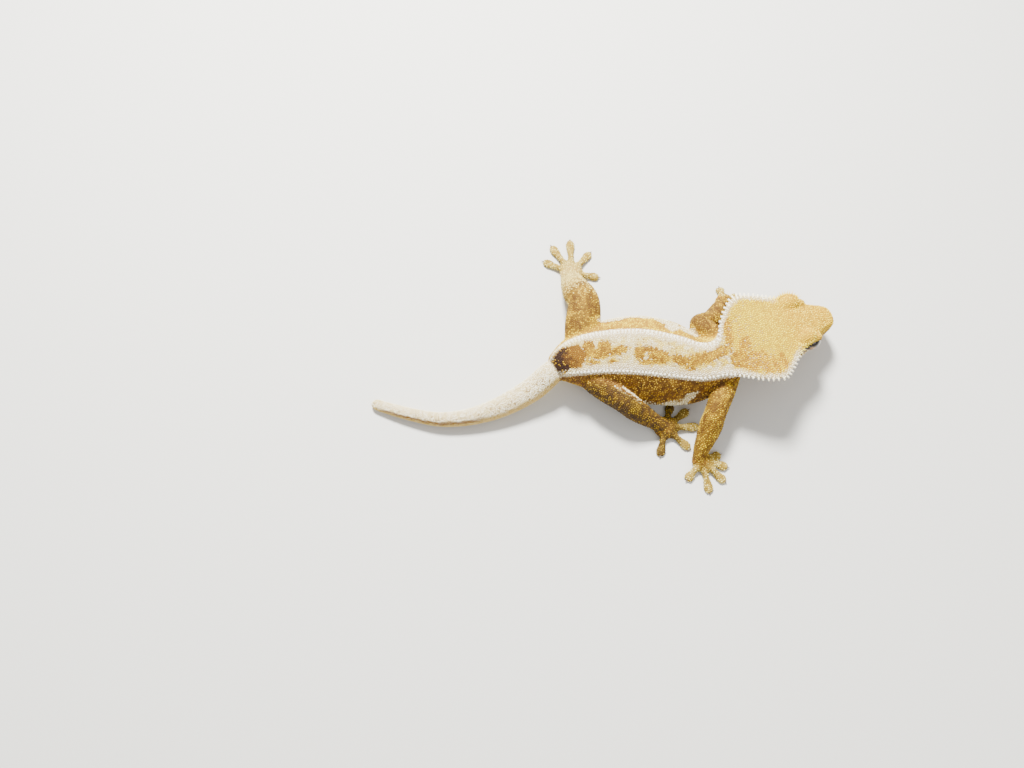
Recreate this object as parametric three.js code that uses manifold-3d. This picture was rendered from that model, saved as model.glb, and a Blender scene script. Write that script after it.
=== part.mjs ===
// A life-size crested gecko, resting flat with its head turned to its left.
// Millimetres, +Z up. +X points along the trunk towards the head, +Y is the animal's left.
import * as THREE from "three";
import { mergeVertices } from "three/addons/utils/BufferGeometryUtils.js";
import Module from "manifold-3d";

const wasm = await Module();
wasm.setup();

// Driving sizes
const GAP = 0.3; // clearance between neighbouring parts
const ROW_GAP = 0.07; // the same clearance in rows of the section table, on the neck
const SLIVER = 0.01; // edges shorter than this are merged away
const SPLINE_STEPS = 2; // facets between two corners of a trunk section
const EYE = { x: 20.8, y: 7.2, z: 4.8, radius: 3.7, rim: 0.8 }; // in the head's own frame
const BROW = { x: 16.4, y: 7.3, z: 8.8, length: 5.4, width: 3.3, height: 2.4, lean: 1.4 };
const NOSTRIL = { x: 34.2, y: 2.8, z: 1.2, radius: 0.6 };
const EAR = { x: 3.6, y: 12.6, z: -2.4, length: 1.1, depth: 1.5, height: 1.9 };
const MOUTH = { corner: 9.5, drop: -3.4, tip: -1.4, slot: 0.36, depth: 0.8, lip: 0.85 };
const SPINE_SPACING = 2.2;
const SPINE = { trunk: 1.1, neck: 1.5, crown: 2.3, brow: 1.5, base: 0.6, sides: 5, root: 0.55 };

// Node ranges along the body, counted in rows of the section table below
const HIPS_END = 2.9;
const TORSO_END = 7.4;
const NECK_END = 9.3;

// Sections of the body from the vent to the snout. x and y place a section's axis, z is the axis'
// height, and the other fields are measured from it: heights up, half widths outwards.
const CROWN = 11; // row of the crown's corners
const FIELDS = ["x", "y", "z", "yaw", "roll", "top", "crest", "crestZ", "under", "side", "sideZ", "low", "bottom"];
const BODY = [
  [-34.6, -1.9, 10.0, 31, 3, 4.4, 3.4, 3.4, 4.6, 4.9, -0.2, 3.6, -4.8],
  [-32.8, -0.9, 10.0, 24, 4, 6.4, 4.6, 5.4, 5.8, 6.2, 0.0, 4.4, -5.4],
  [-29.8, 0.6, 10.0, 15, 5, 7.8, 5.8, 6.8, 7.4, 8.4, 0.2, 6.0, -6.4],
  [-24.5, 2.0, 10.0, 8, 6, 9.0, 6.8, 8.0, 9.4, 11.2, 0.0, 7.8, -7.2],
  [-15.0, 3.0, 10.0, 2, 6, 10.4, 7.5, 9.2, 11.8, 14.8, -1.0, 10.6, -8.0],
  [-2.0, 2.8, 10.0, -4, 6, 11.2, 8.0, 9.8, 13.2, 17.2, -1.5, 12.2, -8.4],
  [11.0, 0.7, 10.0, -6, 6, 11.2, 7.4, 9.8, 12.6, 16.4, -1.5, 11.8, -8.4],
  [20.0, -1.3, 10.0, -2, 5, 11.0, 6.5, 9.8, 10.2, 13.4, -1.0, 9.4, -7.8],
  [27.2, -0.3, 11.2, 15, 4, 10.8, 6.9, 10.2, 8.6, 10.4, -0.4, 7.4, -7.6],
  [31.1, 2.2, 13.4, 23, 4, 9.8, 11.4, 9.2, 8.8, 9.4, -1.2, 6.8, -8.6],
  [35.6, 4.3, 15.4, 26.5, 4, 9.4, 15.7, 9.0, 10.2, 10.0, -2.2, 7.2, -10.2],
  [40.2, 6.3, 16.0, 28, 4, 9.8, 17.8, 9.2, 11.8, 11.8, -2.6, 8.2, -10.8],
  [44.3, 8.2, 15.3, 26, 4, 10.2, 16.1, 9.4, 12.4, 13.0, -3.0, 9.0, -10.2],
  [48.4, 10.1, 14.7, 24, 4, 10.4, 13.4, 9.6, 12.0, 12.8, -3.0, 9.0, -9.6],
  [52.1, 11.8, 14.1, 23, 4, 10.5, 11.0, 9.7, 10.4, 12.0, -3.0, 8.6, -9.0],
  [55.8, 13.3, 13.5, 22.2, 4, 10.3, 9.1, 9.4, 8.6, 11.0, -3.0, 7.8, -8.2],
  [59.5, 14.7, 12.9, 21.5, 4, 9.2, 7.3, 8.2, 7.6, 9.9, -2.8, 6.8, -7.4],
  [63.2, 16.0, 12.3, 20.8, 4, 7.6, 5.8, 6.6, 6.7, 8.5, -2.4, 5.8, -6.6],
  [67.0, 17.2, 11.7, 20.2, 3, 6.3, 4.8, 5.3, 5.7, 6.9, -2.0, 4.7, -5.7],
  [70.4, 18.3, 11.1, 19.6, 3, 5.2, 3.9, 4.3, 4.7, 5.3, -1.6, 3.5, -4.8],
  [72.8, 19.0, 10.8, 19.2, 3, 3.8, 2.9, 2.9, 3.4, 3.8, -1.3, 2.3, -3.7],
  [74.0, 19.4, 10.6, 19, 3, 1.4, 1.0, 0.9, 1.4, 1.5, -1.0, 0.9, -2.3],
];
const HEAD_AXIS = { x: 40.2, y: 6.4, z: 16.0, yaw: 22, fall: 0.15, roll: 4 }; // through the skull

// Tail: centre line with half width and half height. It lies on the ground behind the vent.
const TAIL = [
  { at: [-33.4, -1.2, 9.8], width: 4.1, height: 4.1 },
  { at: [-37.0, -4.0, 9.0], width: 4.7, height: 4.4 },
  { at: [-44.0, -9.4, 6.0], width: 4.7, height: 4.2 },
  { at: [-55.5, -15.4, 3.9], width: 4.1, height: 4.0 },
  { at: [-67.5, -19.2, 3.1], width: 3.3, height: 3.2 },
  { at: [-79.3, -20.2, 2.7], width: 2.8, height: 2.8 },
  { at: [-91.0, -18.0, 2.3], width: 2.5, height: 2.4 },
  { at: [-100.0, -15.4, 1.8], width: 2.3, height: 1.9 },
  { at: [-104.6, -13.8, 1.5], width: 2.1, height: 1.6 },
  { at: [-106.3, -13.2, 1.4], width: 0.9, height: 0.7 },
];
const TAIL_CUTS = { middle: 0.4, tip: 0.72 }; // shares of the tail's length

// Limbs: joints from the trunk outwards, with half width and half height at each.
const LIMBS = {
  arm_right: {
    upper: [[[31.8, -3, 12.5], 4.8, 4.6], [[28.8, -11.5, 12.8], 4.4, 4.3], [[25.3, -20, 12.4], 4.1, 3.8]],
    lower: [[[25.9, -19.4, 12.4], 3.9, 3.7], [[23.6, -25.5, 9.0], 4.2, 3.7], [[20.9, -33, 3.9], 2.9, 2.4]],
  },
  arm_left: {
    upper: [[[30, 3, 12.5], 5.0, 4.6], [[26.0, 10.5, 13.2], 4.6, 4.3], [[21.6, 15.8, 12.4], 3.9, 3.7]],
    lower: [[[22.0, 15.3, 12.4], 3.7, 3.5], [[27.2, 18.8, 9.2], 3.6, 3.4], [[32.6, 26.2, 4.2], 2.8, 2.4]],
  },
  leg_right: {
    upper: [[[-24.5, -1, 10.5], 5.6, 5.0], [[-16.8, -8.4, 10.8], 5.6, 5.2], [[-8.4, -15.2, 10.6], 4.6, 4.4]],
    lower: [[[-9.2, -14.6, 10.6], 4.4, 4.2], [[-3.4, -18.0, 7.6], 4.3, 4.0], [[4.6, -21.8, 3.8], 3.0, 2.4]],
  },
  leg_left: {
    upper: [[[-25, 4, 11], 5.8, 5.0], [[-23.9, 14.5, 13.2], 6.8, 5.2], [[-23.0, 24.5, 13.4], 6.4, 4.8]],
    lower: [[[-23.2, 23.8, 13.4], 6.2, 4.6], [[-25.4, 31.0, 10.0], 5.9, 4.3], [[-26.9, 38.8, 4.0], 4.4, 2.7]],
  },
};

// Hands and feet: the palm's middle, then each toe's tip on the ground.
const HANDS = {
  hand_right: { palm: [21.6, -36.2], size: 3.9, toes: [[15.4, -43.8], [23.9, -48.6], [30.2, -44.4], [31.6, -38.6], [29.2, -33.6]] },
  hand_left: { palm: [35.8, 29.4], size: 3.9, toes: [[34.4, 36.6], [41.8, 33.0], [46.4, 28.4], [45.4, 22.2], [39.0, 19.4]] },
  foot_right: { palm: [8.2, -23.2], size: 4.4, toes: [[5.8, -34.4], [17.6, -31.4], [21.8, -22.6], [18.0, -15.8], [11.2, -13.6]] },
  foot_left: { palm: [-26.6, 42.6], size: 4.8, toes: [[-38.2, 48.4], [-34.8, 55.6], [-26.8, 58.2], [-18.4, 52.6], [-15.2, 41.2]] },
};
const TOE = { root: 1.35, waist: 1.25, pad: 1.95, padHeight: 1.7, claw: 1.1 };
const WEB = { reach: 0.5, thickness: 0.9 };

// Materials
const skin = (colour) => new THREE.MeshStandardMaterial({ color: colour, roughness: 0.75, metalness: 0 });
const BACK_SKIN = skin(0xe9d3a0);
const HEAD_SKIN = skin(0xeccf96);
const LIMB_SKIN = skin(0xc39a55);
const TAIL_SKIN = skin(0xe8e0c8);
const TOE_SKIN = skin(0xd9cda0);
const EYE_SURFACE = new THREE.MeshStandardMaterial({ color: 0x1b120d, roughness: 0.12, metalness: 0 });

const lerp = THREE.MathUtils.lerp;
const turn = THREE.MathUtils.degToRad;

// Closed solids
function solidOf(geometry) {
  const bare = new THREE.BufferGeometry();
  bare.setAttribute("position", geometry.getAttribute("position"));
  if (geometry.index) bare.setIndex(geometry.index);
  const merged = mergeVertices(bare, 1e-4);
  return new wasm.Manifold(
    new wasm.Mesh({
      numProp: 3,
      vertProperties: new Float32Array(merged.attributes.position.array),
      triVerts: new Uint32Array(merged.index.array),
    }),
  );
}

// Only the largest closed surface is kept, freed of slivers finer than a hundredth of a millimetre
function largest(solid) {
  return solid.decompose().reduce((a, b) => (b.volume() > a.volume() ? b : a)).simplify(SLIVER);
}

function meshOf(name, solid, material) {
  const source = largest(solid).getMesh();
  const geometry = new THREE.BufferGeometry();
  geometry.setAttribute("position", new THREE.BufferAttribute(source.vertProperties, source.numProp));
  geometry.setIndex(new THREE.BufferAttribute(source.triVerts, 1));
  geometry.computeVertexNormals();
  const mesh = new THREE.Mesh(geometry, material);
  mesh.name = name;
  return mesh;
}

// A closed skin over rings of equal count, each wound the same way round.
function loft(rings) {
  const count = rings[0].length;
  const points = rings.flat();
  const faces = [];
  for (let r = 0; r < rings.length - 1; r++) {
    for (let i = 0; i < count; i++) {
      const a = r * count + i;
      const b = r * count + ((i + 1) % count);
      faces.push(a, b, a + count, b, b + count, a + count);
    }
  }
  const last = rings.length - 1;
  for (const [ring, flip] of [[0, true], [last, false]]) {
    const middle = new THREE.Vector3();
    rings[ring].forEach((p) => middle.addScaledVector(p, 1 / count));
    points.push(middle);
    for (let i = 0; i < count; i++) {
      const a = ring * count + i;
      const b = ring * count + ((i + 1) % count);
      faces.push(...(flip ? [points.length - 1, b, a] : [points.length - 1, a, b]));
    }
  }
  const geometry = new THREE.BufferGeometry().setFromPoints(points);
  geometry.setIndex(faces);
  const solid = solidOf(geometry);
  if (solid.volume() > 0) return solid;
  geometry.setIndex(faces.reverse());
  return solidOf(geometry);
}

function ball(centre, radii, detail) {
  const geometry = new THREE.IcosahedronGeometry(1, detail);
  geometry.scale(...radii);
  geometry.translate(...centre);
  return solidOf(geometry);
}

// Everything below the ground
const underground = solidOf(new THREE.BoxGeometry(400, 400, 20).translate(0, 0, -10));

const ROWS = BODY.map((values) => Object.fromEntries(FIELDS.map((field, i) => [field, values[i]])));
const LAST_ROW = ROWS.length - 1;

function smooth(a, b, c, d, t) {
  const m0 = (c - a) / 2;
  const m1 = (d - b) / 2;
  const t2 = t * t;
  const t3 = t2 * t;
  return (2 * t3 - 3 * t2 + 1) * b + (t3 - 2 * t2 + t) * m0 + (3 * t2 - 2 * t3) * c + (t3 - t2) * m1;
}

function stationAt(place) {
  const i = Math.min(Math.floor(place), LAST_ROW - 1);
  const row = (k) => ROWS[Math.min(Math.max(k, 0), LAST_ROW)];
  const station = {};
  for (const field of Object.keys(ROWS[0])) {
    station[field] = smooth(row(i - 1)[field], row(i)[field], row(i + 1)[field], row(i + 2)[field], place - i);
  }
  return station;
}

// A point of a section: across to the animal's left, and up, from the station's axis
function placed(station, across, up) {
  const point = new THREE.Vector3(0, across, up);
  point.applyAxisAngle(new THREE.Vector3(1, 0, 0), turn(station.roll));
  point.applyAxisAngle(new THREE.Vector3(0, 0, 1), turn(station.yaw));
  return point.add(new THREE.Vector3(station.x, station.y, station.z));
}

// Half a section from the spine down to the belly: back, crest, flank, lower flank, belly
function halfSection(s) {
  return [
    [0, s.top],
    [s.crest * 0.55, lerp(s.top, s.crestZ, 0.3)],
    [s.crest, s.crestZ],
    [s.under, lerp(s.crestZ, s.sideZ, 0.42)],
    [s.side, s.sideZ],
    [lerp(s.low, s.side, 0.55), lerp(s.sideZ, s.bottom, 0.6)],
    [s.low * 0.55, lerp(s.bottom, s.sideZ, 0.06)],
    [0, s.bottom],
  ];
}

function sectionRing(place, grow = 0) {
  const station = stationAt(place);
  const half = halfSection(station);
  const corners = [...half, ...half.slice(1, -1).reverse().map(([across, up]) => [-across, up])];
  const curve = new THREE.CatmullRomCurve3(
    corners.map(([across, up]) => new THREE.Vector3(across, up, 0)),
    true,
    "centripetal",
  );
  const count = corners.length * SPLINE_STEPS;
  const ring = [];
  for (let i = 0; i < count; i++) {
    const point = curve.getPoint(i / count);
    const tangent = curve.getTangent(i / count);
    ring.push(placed(station, point.x - tangent.y * grow, point.y + tangent.x * grow));
  }
  return ring;
}

// Rings stand at every half row and at the two cuts, so that neighbours share their facets
function bodyPiece(from, to, grow = 0) {
  const places = [from];
  for (let place = Math.floor(from * 2 + 1) / 2; place < to - 0.02; place += 0.5) {
    if (place > from + 0.02) places.push(place);
  }
  places.push(to);
  const rings = places.map((place) => sectionRing(place, grow));
  if (grow > 0) {
    const { yaw } = stationAt(from);
    const back = new THREE.Vector3(-Math.cos(turn(yaw)), -Math.sin(turn(yaw)), 0);
    rings[0].forEach((point) => point.addScaledVector(back, grow));
  }
  return loft(rings);
}

// Crest: the ridge that runs from the brow over the crown's corner, the nape and along the back
function crestPoint(place, side) {
  const station = stationAt(place);
  return placed(station, side * station.crest, station.crestZ);
}

function crestWalk(side, from, to, spacing) {
  const fine = 0.02;
  const marks = [];
  let travelled = spacing / 2;
  let before = crestPoint(from, side);
  for (let place = from; place <= to; place += fine) {
    const here = crestPoint(place, side);
    travelled += here.distanceTo(before);
    before = here;
    if (travelled >= spacing) {
      travelled = 0;
      const along = crestPoint(place + fine, side).sub(here).normalize();
      const out = new THREE.Vector3(along.y, -along.x, 0).multiplyScalar(-side).normalize();
      marks.push({ place, at: here, out, along });
    }
  }
  return marks;
}

// One spine: a small cone whose root is sunk in the ridge
function spine(at, direction, length) {
  const whole = length + SPINE.root;
  const geometry = new THREE.ConeGeometry(SPINE.base, whole, SPINE.sides);
  geometry.translate(0, whole / 2 - SPINE.root, 0);
  geometry.applyQuaternion(new THREE.Quaternion().setFromUnitVectors(new THREE.Vector3(0, 1, 0), direction));
  geometry.translate(at.x, at.y, at.z);
  return solidOf(geometry);
}

let dice = 7;
function roll() {
  dice = (dice * 16807) % 2147483647;
  return dice / 2147483647;
}

// Spines are short on the back, longer on the neck and longest at the crown's corners
function spineLength(place) {
  if (place < TORSO_END) return lerp(0.8, SPINE.trunk, Math.min(1, place / 2.5));
  return lerp(SPINE.crown, SPINE.neck, Math.min(1, Math.abs(place - CROWN) / 3));
}

function crestSpines(from, to) {
  const solids = [];
  for (const side of [1, -1]) {
    for (const mark of crestWalk(side, from, to, SPINE_SPACING)) {
      const direction = mark.out.clone();
      direction.z = 0.3 + 0.12 * (roll() - 0.5);
      direction.addScaledVector(mark.along, -0.18 + 0.12 * (roll() - 0.5)).normalize();
      const root = mark.at.clone().addScaledVector(mark.out, -0.12);
      solids.push(spine(root, direction, spineLength(mark.place) * lerp(0.88, 1.12, roll())));
    }
  }
  return solids;
}

// Head
function inHead(x, y, z) {
  const yaw = turn(HEAD_AXIS.yaw);
  const axis = {
    ...HEAD_AXIS,
    x: HEAD_AXIS.x + x * Math.cos(yaw),
    y: HEAD_AXIS.y + x * Math.sin(yaw),
    z: HEAD_AXIS.z - x * HEAD_AXIS.fall,
  };
  return placed(axis, y, z);
}

function headBall(x, y, z, radii, detail) {
  const geometry = new THREE.IcosahedronGeometry(1, detail);
  geometry.scale(...radii);
  geometry.rotateX(turn(HEAD_AXIS.roll));
  geometry.rotateZ(turn(HEAD_AXIS.yaw));
  const centre = inHead(x, y, z);
  geometry.translate(centre.x, centre.y, centre.z);
  return solidOf(geometry);
}

// The lip line: level round the snout, dropping under the eye and rising to the corner
function lipPath() {
  const steps = 13;
  const headRows = BODY.slice(CROWN).map((row) => {
    const [x, y] = row;
    return { x: Math.hypot(x - HEAD_AXIS.x, y - HEAD_AXIS.y), side: row[FIELDS.indexOf("side")] };
  });
  const path = [];
  for (const side of [1, -1]) {
    const half = [];
    for (let i = 0; i < steps; i++) {
      const share = i / (steps - 0.4);
      const x = lerp(MOUTH.corner, headRows[headRows.length - 1].x - 0.1, Math.sin((share * Math.PI) / 2));
      const next = headRows.findIndex((row) => row.x > x);
      const t = (x - headRows[next - 1].x) / (headRows[next].x - headRows[next - 1].x);
      const drop = lerp(MOUTH.drop, MOUTH.tip, share ** 3) + 1.3 * (1 - share) ** 4;
      half.push({ x, y: side * lerp(headRows[next - 1].side, headRows[next].side, t), z: drop });
    }
    path.push(...(side > 0 ? half : half.reverse()));
  }
  return path;
}

function lipBand(inner, outer, halfHeight, sides) {
  const path = lipPath();
  const spread = sides === 4 ? Math.SQRT2 : 1; // a square band's corners stand further out
  const rings = path.map((point, i) => {
    const before = path[Math.max(0, i - 1)];
    const after = path[Math.min(path.length - 1, i + 1)];
    const out = new THREE.Vector2(-(after.y - before.y), after.x - before.x).normalize();
    const ring = [];
    for (let k = 0; k < sides; k++) {
      const angle = ((k + 0.5) / sides) * Math.PI * 2;
      const reach = (outer - inner) / 2 + ((outer + inner) / 2) * spread * Math.cos(angle);
      const up = halfHeight * spread * Math.sin(angle);
      ring.push(inHead(point.x + out.x * reach, point.y + out.y * reach, point.z + up));
    }
    return ring;
  });
  return loft(rings);
}

function head() {
  const first = NECK_END + ROW_GAP;
  let solid = bodyPiece(first, LAST_ROW);
  const additions = [];
  for (const side of [1, -1]) {
    additions.push(headBall(BROW.x, side * BROW.y + BROW.lean, BROW.z, [BROW.length, BROW.width, BROW.height], 2));
    const rim = EYE.radius + EYE.rim;
    additions.push(headBall(EYE.x, side * EYE.y, EYE.z - 0.2, [rim, EYE.radius * 0.78, rim], 2));
  }
  additions.push(lipBand(MOUTH.lip, MOUTH.lip * 0.45, MOUTH.lip, 6));
  additions.push(...crestSpines(first + 0.15, CROWN + 3.6), ...browSpines());
  solid = wasm.Manifold.union([solid, ...additions]);
  const cuts = [lipBand(MOUTH.depth, MOUTH.depth * 2, MOUTH.slot / 2, 4)];
  for (const side of [1, -1]) {
    const socket = EYE.radius + GAP;
    cuts.push(headBall(EYE.x, side * EYE.y, EYE.z, [socket, socket, socket], 3));
    cuts.push(headBall(NOSTRIL.x, side * NOSTRIL.y, NOSTRIL.z, [NOSTRIL.radius, NOSTRIL.radius, NOSTRIL.radius], 1));
    cuts.push(headBall(EAR.x, side * EAR.y, EAR.z, [EAR.length, EAR.depth, EAR.height], 1));
  }
  return solid.subtract(wasm.Manifold.union(cuts));
}

// A fan of spines round the outer edge of each brow
function browSpines() {
  const count = 8;
  const solids = [];
  for (const side of [1, -1]) {
    for (let i = 0; i < count; i++) {
      const angle = lerp(-0.95, 1.05, i / (count - 1));
      const x = BROW.x + Math.sin(angle) * (BROW.length - 0.3);
      const y = side * (BROW.y + Math.cos(angle) * (BROW.width - 0.3)) + BROW.lean;
      const root = inHead(x, y, BROW.z + 0.35);
      const tip = inHead(x + Math.sin(angle) * 0.9, y + side * Math.cos(angle), BROW.z + 0.95);
      solids.push(spine(root, tip.sub(root).normalize(), SPINE.brow * lerp(0.85, 1.1, roll())));
    }
  }
  return solids;
}

function eye(side) {
  return headBall(EYE.x, side * EYE.y, EYE.z, [EYE.radius, EYE.radius, EYE.radius], 3);
}

// Rings of an oval tube, wide across the ground
function tube(stops, sides, steps, grow = 0) {
  const curve = new THREE.CatmullRomCurve3(stops.map((stop) => new THREE.Vector3(...stop.at)), false, "centripetal");
  const rings = [];
  for (let i = 0; i <= steps; i++) {
    const share = (i / steps) * (stops.length - 1);
    const k = Math.min(Math.floor(share), stops.length - 2);
    const pick = (field) => {
      const value = (n) => stops[Math.min(Math.max(n, 0), stops.length - 1)][field];
      return smooth(value(k - 1), value(k), value(k + 1), value(k + 2), share - k) + grow;
    };
    const centre = curve.getPoint(i / steps);
    const along = curve.getTangent(i / steps);
    const across = new THREE.Vector3(0, 0, 1).cross(along).normalize();
    const up = new THREE.Vector3().crossVectors(along, across);
    const ring = [];
    for (let s = 0; s < sides; s++) {
      const angle = (s / sides) * Math.PI * 2;
      ring.push(
        centre
          .clone()
          .addScaledVector(across, Math.cos(angle) * pick("width"))
          .addScaledVector(up, Math.sin(angle) * pick("height")),
      );
    }
    rings.push(ring);
  }
  return rings;
}

// Limb segment: a tapered oval with a rounded end at each joint
function segment(joints, grow = 0) {
  const stops = joints.map(([at, width, height]) => ({ at, width, height }));
  const rings = tube(stops, 10, 5, grow);
  const ends = [
    [rings[0], rings[1], stops[0].height],
    [rings[rings.length - 1], rings[rings.length - 2], stops[stops.length - 1].height],
  ];
  const caps = ends.map(([ring, next, height]) => {
    const middle = new THREE.Vector3();
    ring.forEach((p) => middle.addScaledVector(p, 1 / ring.length));
    const inner = new THREE.Vector3();
    next.forEach((p) => inner.addScaledVector(p, 1 / next.length));
    const outward = middle.clone().sub(inner).normalize();
    return [0.5, 0.86].map((share) => {
      const shrink = Math.sqrt(1 - share * share);
      return ring.map((p) => p.clone().sub(middle).multiplyScalar(shrink).add(middle).addScaledVector(outward, share * height));
    });
  });
  return loft([...caps[0].reverse(), ...rings, ...caps[1]]);
}

// Hand or foot: a low palm, five toes that widen into pads, webs between them and a claw on each
function paw({ palm, size, toes }, wrist) {
  const pieces = [ball([palm[0], palm[1], 1.5], [size, size, 2.3], 1)];
  const heel = new THREE.Vector3(wrist[0], wrist[1], wrist[2]);
  const start = new THREE.Vector3(palm[0], palm[1], 1.9);
  pieces.push(
    loft(
      tube(
        [
          { at: heel.toArray(), width: size * 0.74, height: 2.1 },
          { at: heel.clone().lerp(start, 0.5).toArray(), width: size * 0.82, height: 2.0 },
          { at: start.toArray(), width: size * 0.7, height: 1.7 },
        ],
        8,
        2,
      ),
    ),
  );
  for (const tip of toes) pieces.push(toe(palm, tip), claw(palm, tip));
  pieces.push(web(palm, toes));
  return wasm.Manifold.union(pieces).subtract(underground);
}

function toe(palm, tip) {
  const at = (share, z) => [lerp(palm[0], tip[0], share), lerp(palm[1], tip[1], share), z];
  return loft(
    tube(
      [
        { at: at(0.16, 1.3), width: TOE.root, height: 1.5 },
        { at: at(0.48, 1.25), width: TOE.waist, height: 1.35 },
        { at: at(0.74, 0.8), width: TOE.pad, height: TOE.padHeight * 0.62 },
        { at: at(0.9, 0.65), width: TOE.pad * 0.86, height: TOE.padHeight * 0.5 },
        { at: at(1.0, 0.55), width: 0.6, height: 0.6 },
      ],
      6,
      5,
    ),
  );
}

function claw(palm, tip) {
  const along = new THREE.Vector3(tip[0] - palm[0], tip[1] - palm[1], 0).normalize();
  const root = new THREE.Vector3(tip[0], tip[1], 0.95).addScaledVector(along, -0.3);
  const geometry = new THREE.ConeGeometry(0.36, TOE.claw + 0.5, 4);
  geometry.translate(0, TOE.claw / 2 - 0.25, 0);
  const pointing = along.clone().setZ(-0.25).normalize();
  geometry.applyQuaternion(new THREE.Quaternion().setFromUnitVectors(new THREE.Vector3(0, 1, 0), pointing));
  geometry.translate(root.x, root.y, root.z);
  return solidOf(geometry);
}

// Webs: a thin scalloped fan between the toes' roots
function web(palm, toes) {
  const shape = new THREE.Shape();
  const reach = (tip, share) => [lerp(palm[0], tip[0], share), lerp(palm[1], tip[1], share)];
  shape.moveTo(palm[0], palm[1]);
  toes.forEach((tip, i) => {
    if (i > 0) {
      const valley = [(tip[0] + toes[i - 1][0]) / 2, (tip[1] + toes[i - 1][1]) / 2];
      shape.quadraticCurveTo(...reach(valley, WEB.reach * 0.62), ...reach(tip, WEB.reach));
    } else {
      shape.lineTo(...reach(tip, WEB.reach));
    }
  });
  const geometry = new THREE.ExtrudeGeometry(shape, { depth: WEB.thickness, bevelEnabled: false, curveSegments: 2 });
  geometry.translate(0, 0, 0.15);
  return solidOf(geometry);
}

// Assembly
const gecko = new THREE.Group();
const add = (name, solid, material) => gecko.add(meshOf(name, solid, material));
const grownBody = bodyPiece(0, LAST_ROW, GAP);

add("hips", wasm.Manifold.union([bodyPiece(0, HIPS_END), ...crestSpines(1.2, HIPS_END - 0.15)]), BACK_SKIN);
add(
  "torso",
  wasm.Manifold.union([bodyPiece(HIPS_END + ROW_GAP / 2, TORSO_END), ...crestSpines(HIPS_END + 0.1, TORSO_END - 0.15)]),
  BACK_SKIN,
);
add(
  "neck",
  wasm.Manifold.union([bodyPiece(TORSO_END + ROW_GAP, NECK_END), ...crestSpines(TORSO_END + 0.15, NECK_END - 0.2)]),
  BACK_SKIN,
);
add("head", head(), HEAD_SKIN);
add("eye_left", eye(1), EYE_SURFACE);
add("eye_right", eye(-1), EYE_SURFACE);

const tailRings = tube(TAIL, 12, 30);
const tailLength = tailRings.length - 1;
const middleCut = Math.round(TAIL_CUTS.middle * tailLength);
const tipCut = Math.round(TAIL_CUTS.tip * tailLength);
function tailPiece(from, to) {
  const rings = tailRings.slice(from, to + 1);
  if (from > 0) {
    const share = GAP / rings[0][0].distanceTo(rings[1][0]);
    rings[0] = rings[0].map((p, i) => p.clone().lerp(rings[1][i], share));
  }
  return loft(rings).subtract(underground);
}
add("tail_base", tailPiece(0, middleCut).subtract(grownBody), TAIL_SKIN);
add("tail_middle", tailPiece(middleCut, tipCut), TAIL_SKIN);
add("tail_tip", tailPiece(tipCut, tailLength), TAIL_SKIN);

const LIMB_NAMES = {
  arm_right: ["upper_arm_right", "forearm_right", "hand_right"],
  arm_left: ["upper_arm_left", "forearm_left", "hand_left"],
  leg_right: ["thigh_right", "shank_right", "foot_right"],
  leg_left: ["thigh_left", "shank_left", "foot_left"],
};
for (const [limb, [upperName, lowerName, pawName]] of Object.entries(LIMB_NAMES)) {
  const { upper, lower } = LIMBS[limb];
  const wrist = lower[lower.length - 1][0];
  const upperSolid = segment(upper).subtract(grownBody);
  const lowerSolid = segment(lower).subtract(segment(upper, GAP)).subtract(grownBody).subtract(underground);
  const pawSolid = paw(HANDS[pawName], wrist).subtract(segment(lower, GAP)).subtract(grownBody);
  add(upperName, upperSolid, LIMB_SKIN);
  add(lowerName, lowerSolid, LIMB_SKIN);
  add(pawName, pawSolid, TOE_SKIN);
}

// The part's origin is under the middle of its outline, on the ground
const box = new THREE.Box3().setFromObject(gecko);
const middle = box.getCenter(new THREE.Vector3());
gecko.position.set(-middle.x, -middle.y, -box.min.z);

export default gecko;
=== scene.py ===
import math
import random

import bmesh
import bpy
from mathutils import Matrix, Vector
from mathutils.kdtree import KDTree

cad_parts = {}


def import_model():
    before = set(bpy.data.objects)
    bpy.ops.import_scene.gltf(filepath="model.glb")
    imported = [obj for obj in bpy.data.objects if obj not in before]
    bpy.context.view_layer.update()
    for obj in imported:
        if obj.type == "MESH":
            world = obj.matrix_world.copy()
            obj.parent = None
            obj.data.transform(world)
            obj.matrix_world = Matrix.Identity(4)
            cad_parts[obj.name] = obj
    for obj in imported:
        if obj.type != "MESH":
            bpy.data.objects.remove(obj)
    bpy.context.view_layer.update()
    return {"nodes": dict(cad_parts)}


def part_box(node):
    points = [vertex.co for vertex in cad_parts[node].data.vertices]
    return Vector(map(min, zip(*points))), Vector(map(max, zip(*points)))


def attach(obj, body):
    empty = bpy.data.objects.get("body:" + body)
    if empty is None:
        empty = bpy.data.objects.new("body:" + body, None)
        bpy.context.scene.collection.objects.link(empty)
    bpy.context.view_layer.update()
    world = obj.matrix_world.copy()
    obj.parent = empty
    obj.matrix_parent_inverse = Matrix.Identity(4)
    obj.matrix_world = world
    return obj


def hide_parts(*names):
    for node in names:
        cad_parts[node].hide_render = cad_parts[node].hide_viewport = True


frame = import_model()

MM = 0.001

# The place of the skull's own axis and of the eyes in the modelling millimetres. The frame's origin
# lies under the middle of the animal's outline, and the left eye's solid says how far that is off.
HEAD_AXIS = {"x": 40.2, "y": 6.4, "z": 16.0, "yaw": 22.0, "fall": 0.15, "roll": 4.0}
EYE = {"x": 20.8, "y": 7.2, "z": 4.8, "radius": 3.7}


def lerp(a, b, share):
    return a + (b - a) * share


def turn_of(axis):
    """The turn of a body axis: its yaw, and the roll about itself."""
    yaw = Matrix.Rotation(math.radians(axis["yaw"]), 3, "Z")
    return yaw @ Matrix.Rotation(math.radians(axis["roll"]), 3, "X")


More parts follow.
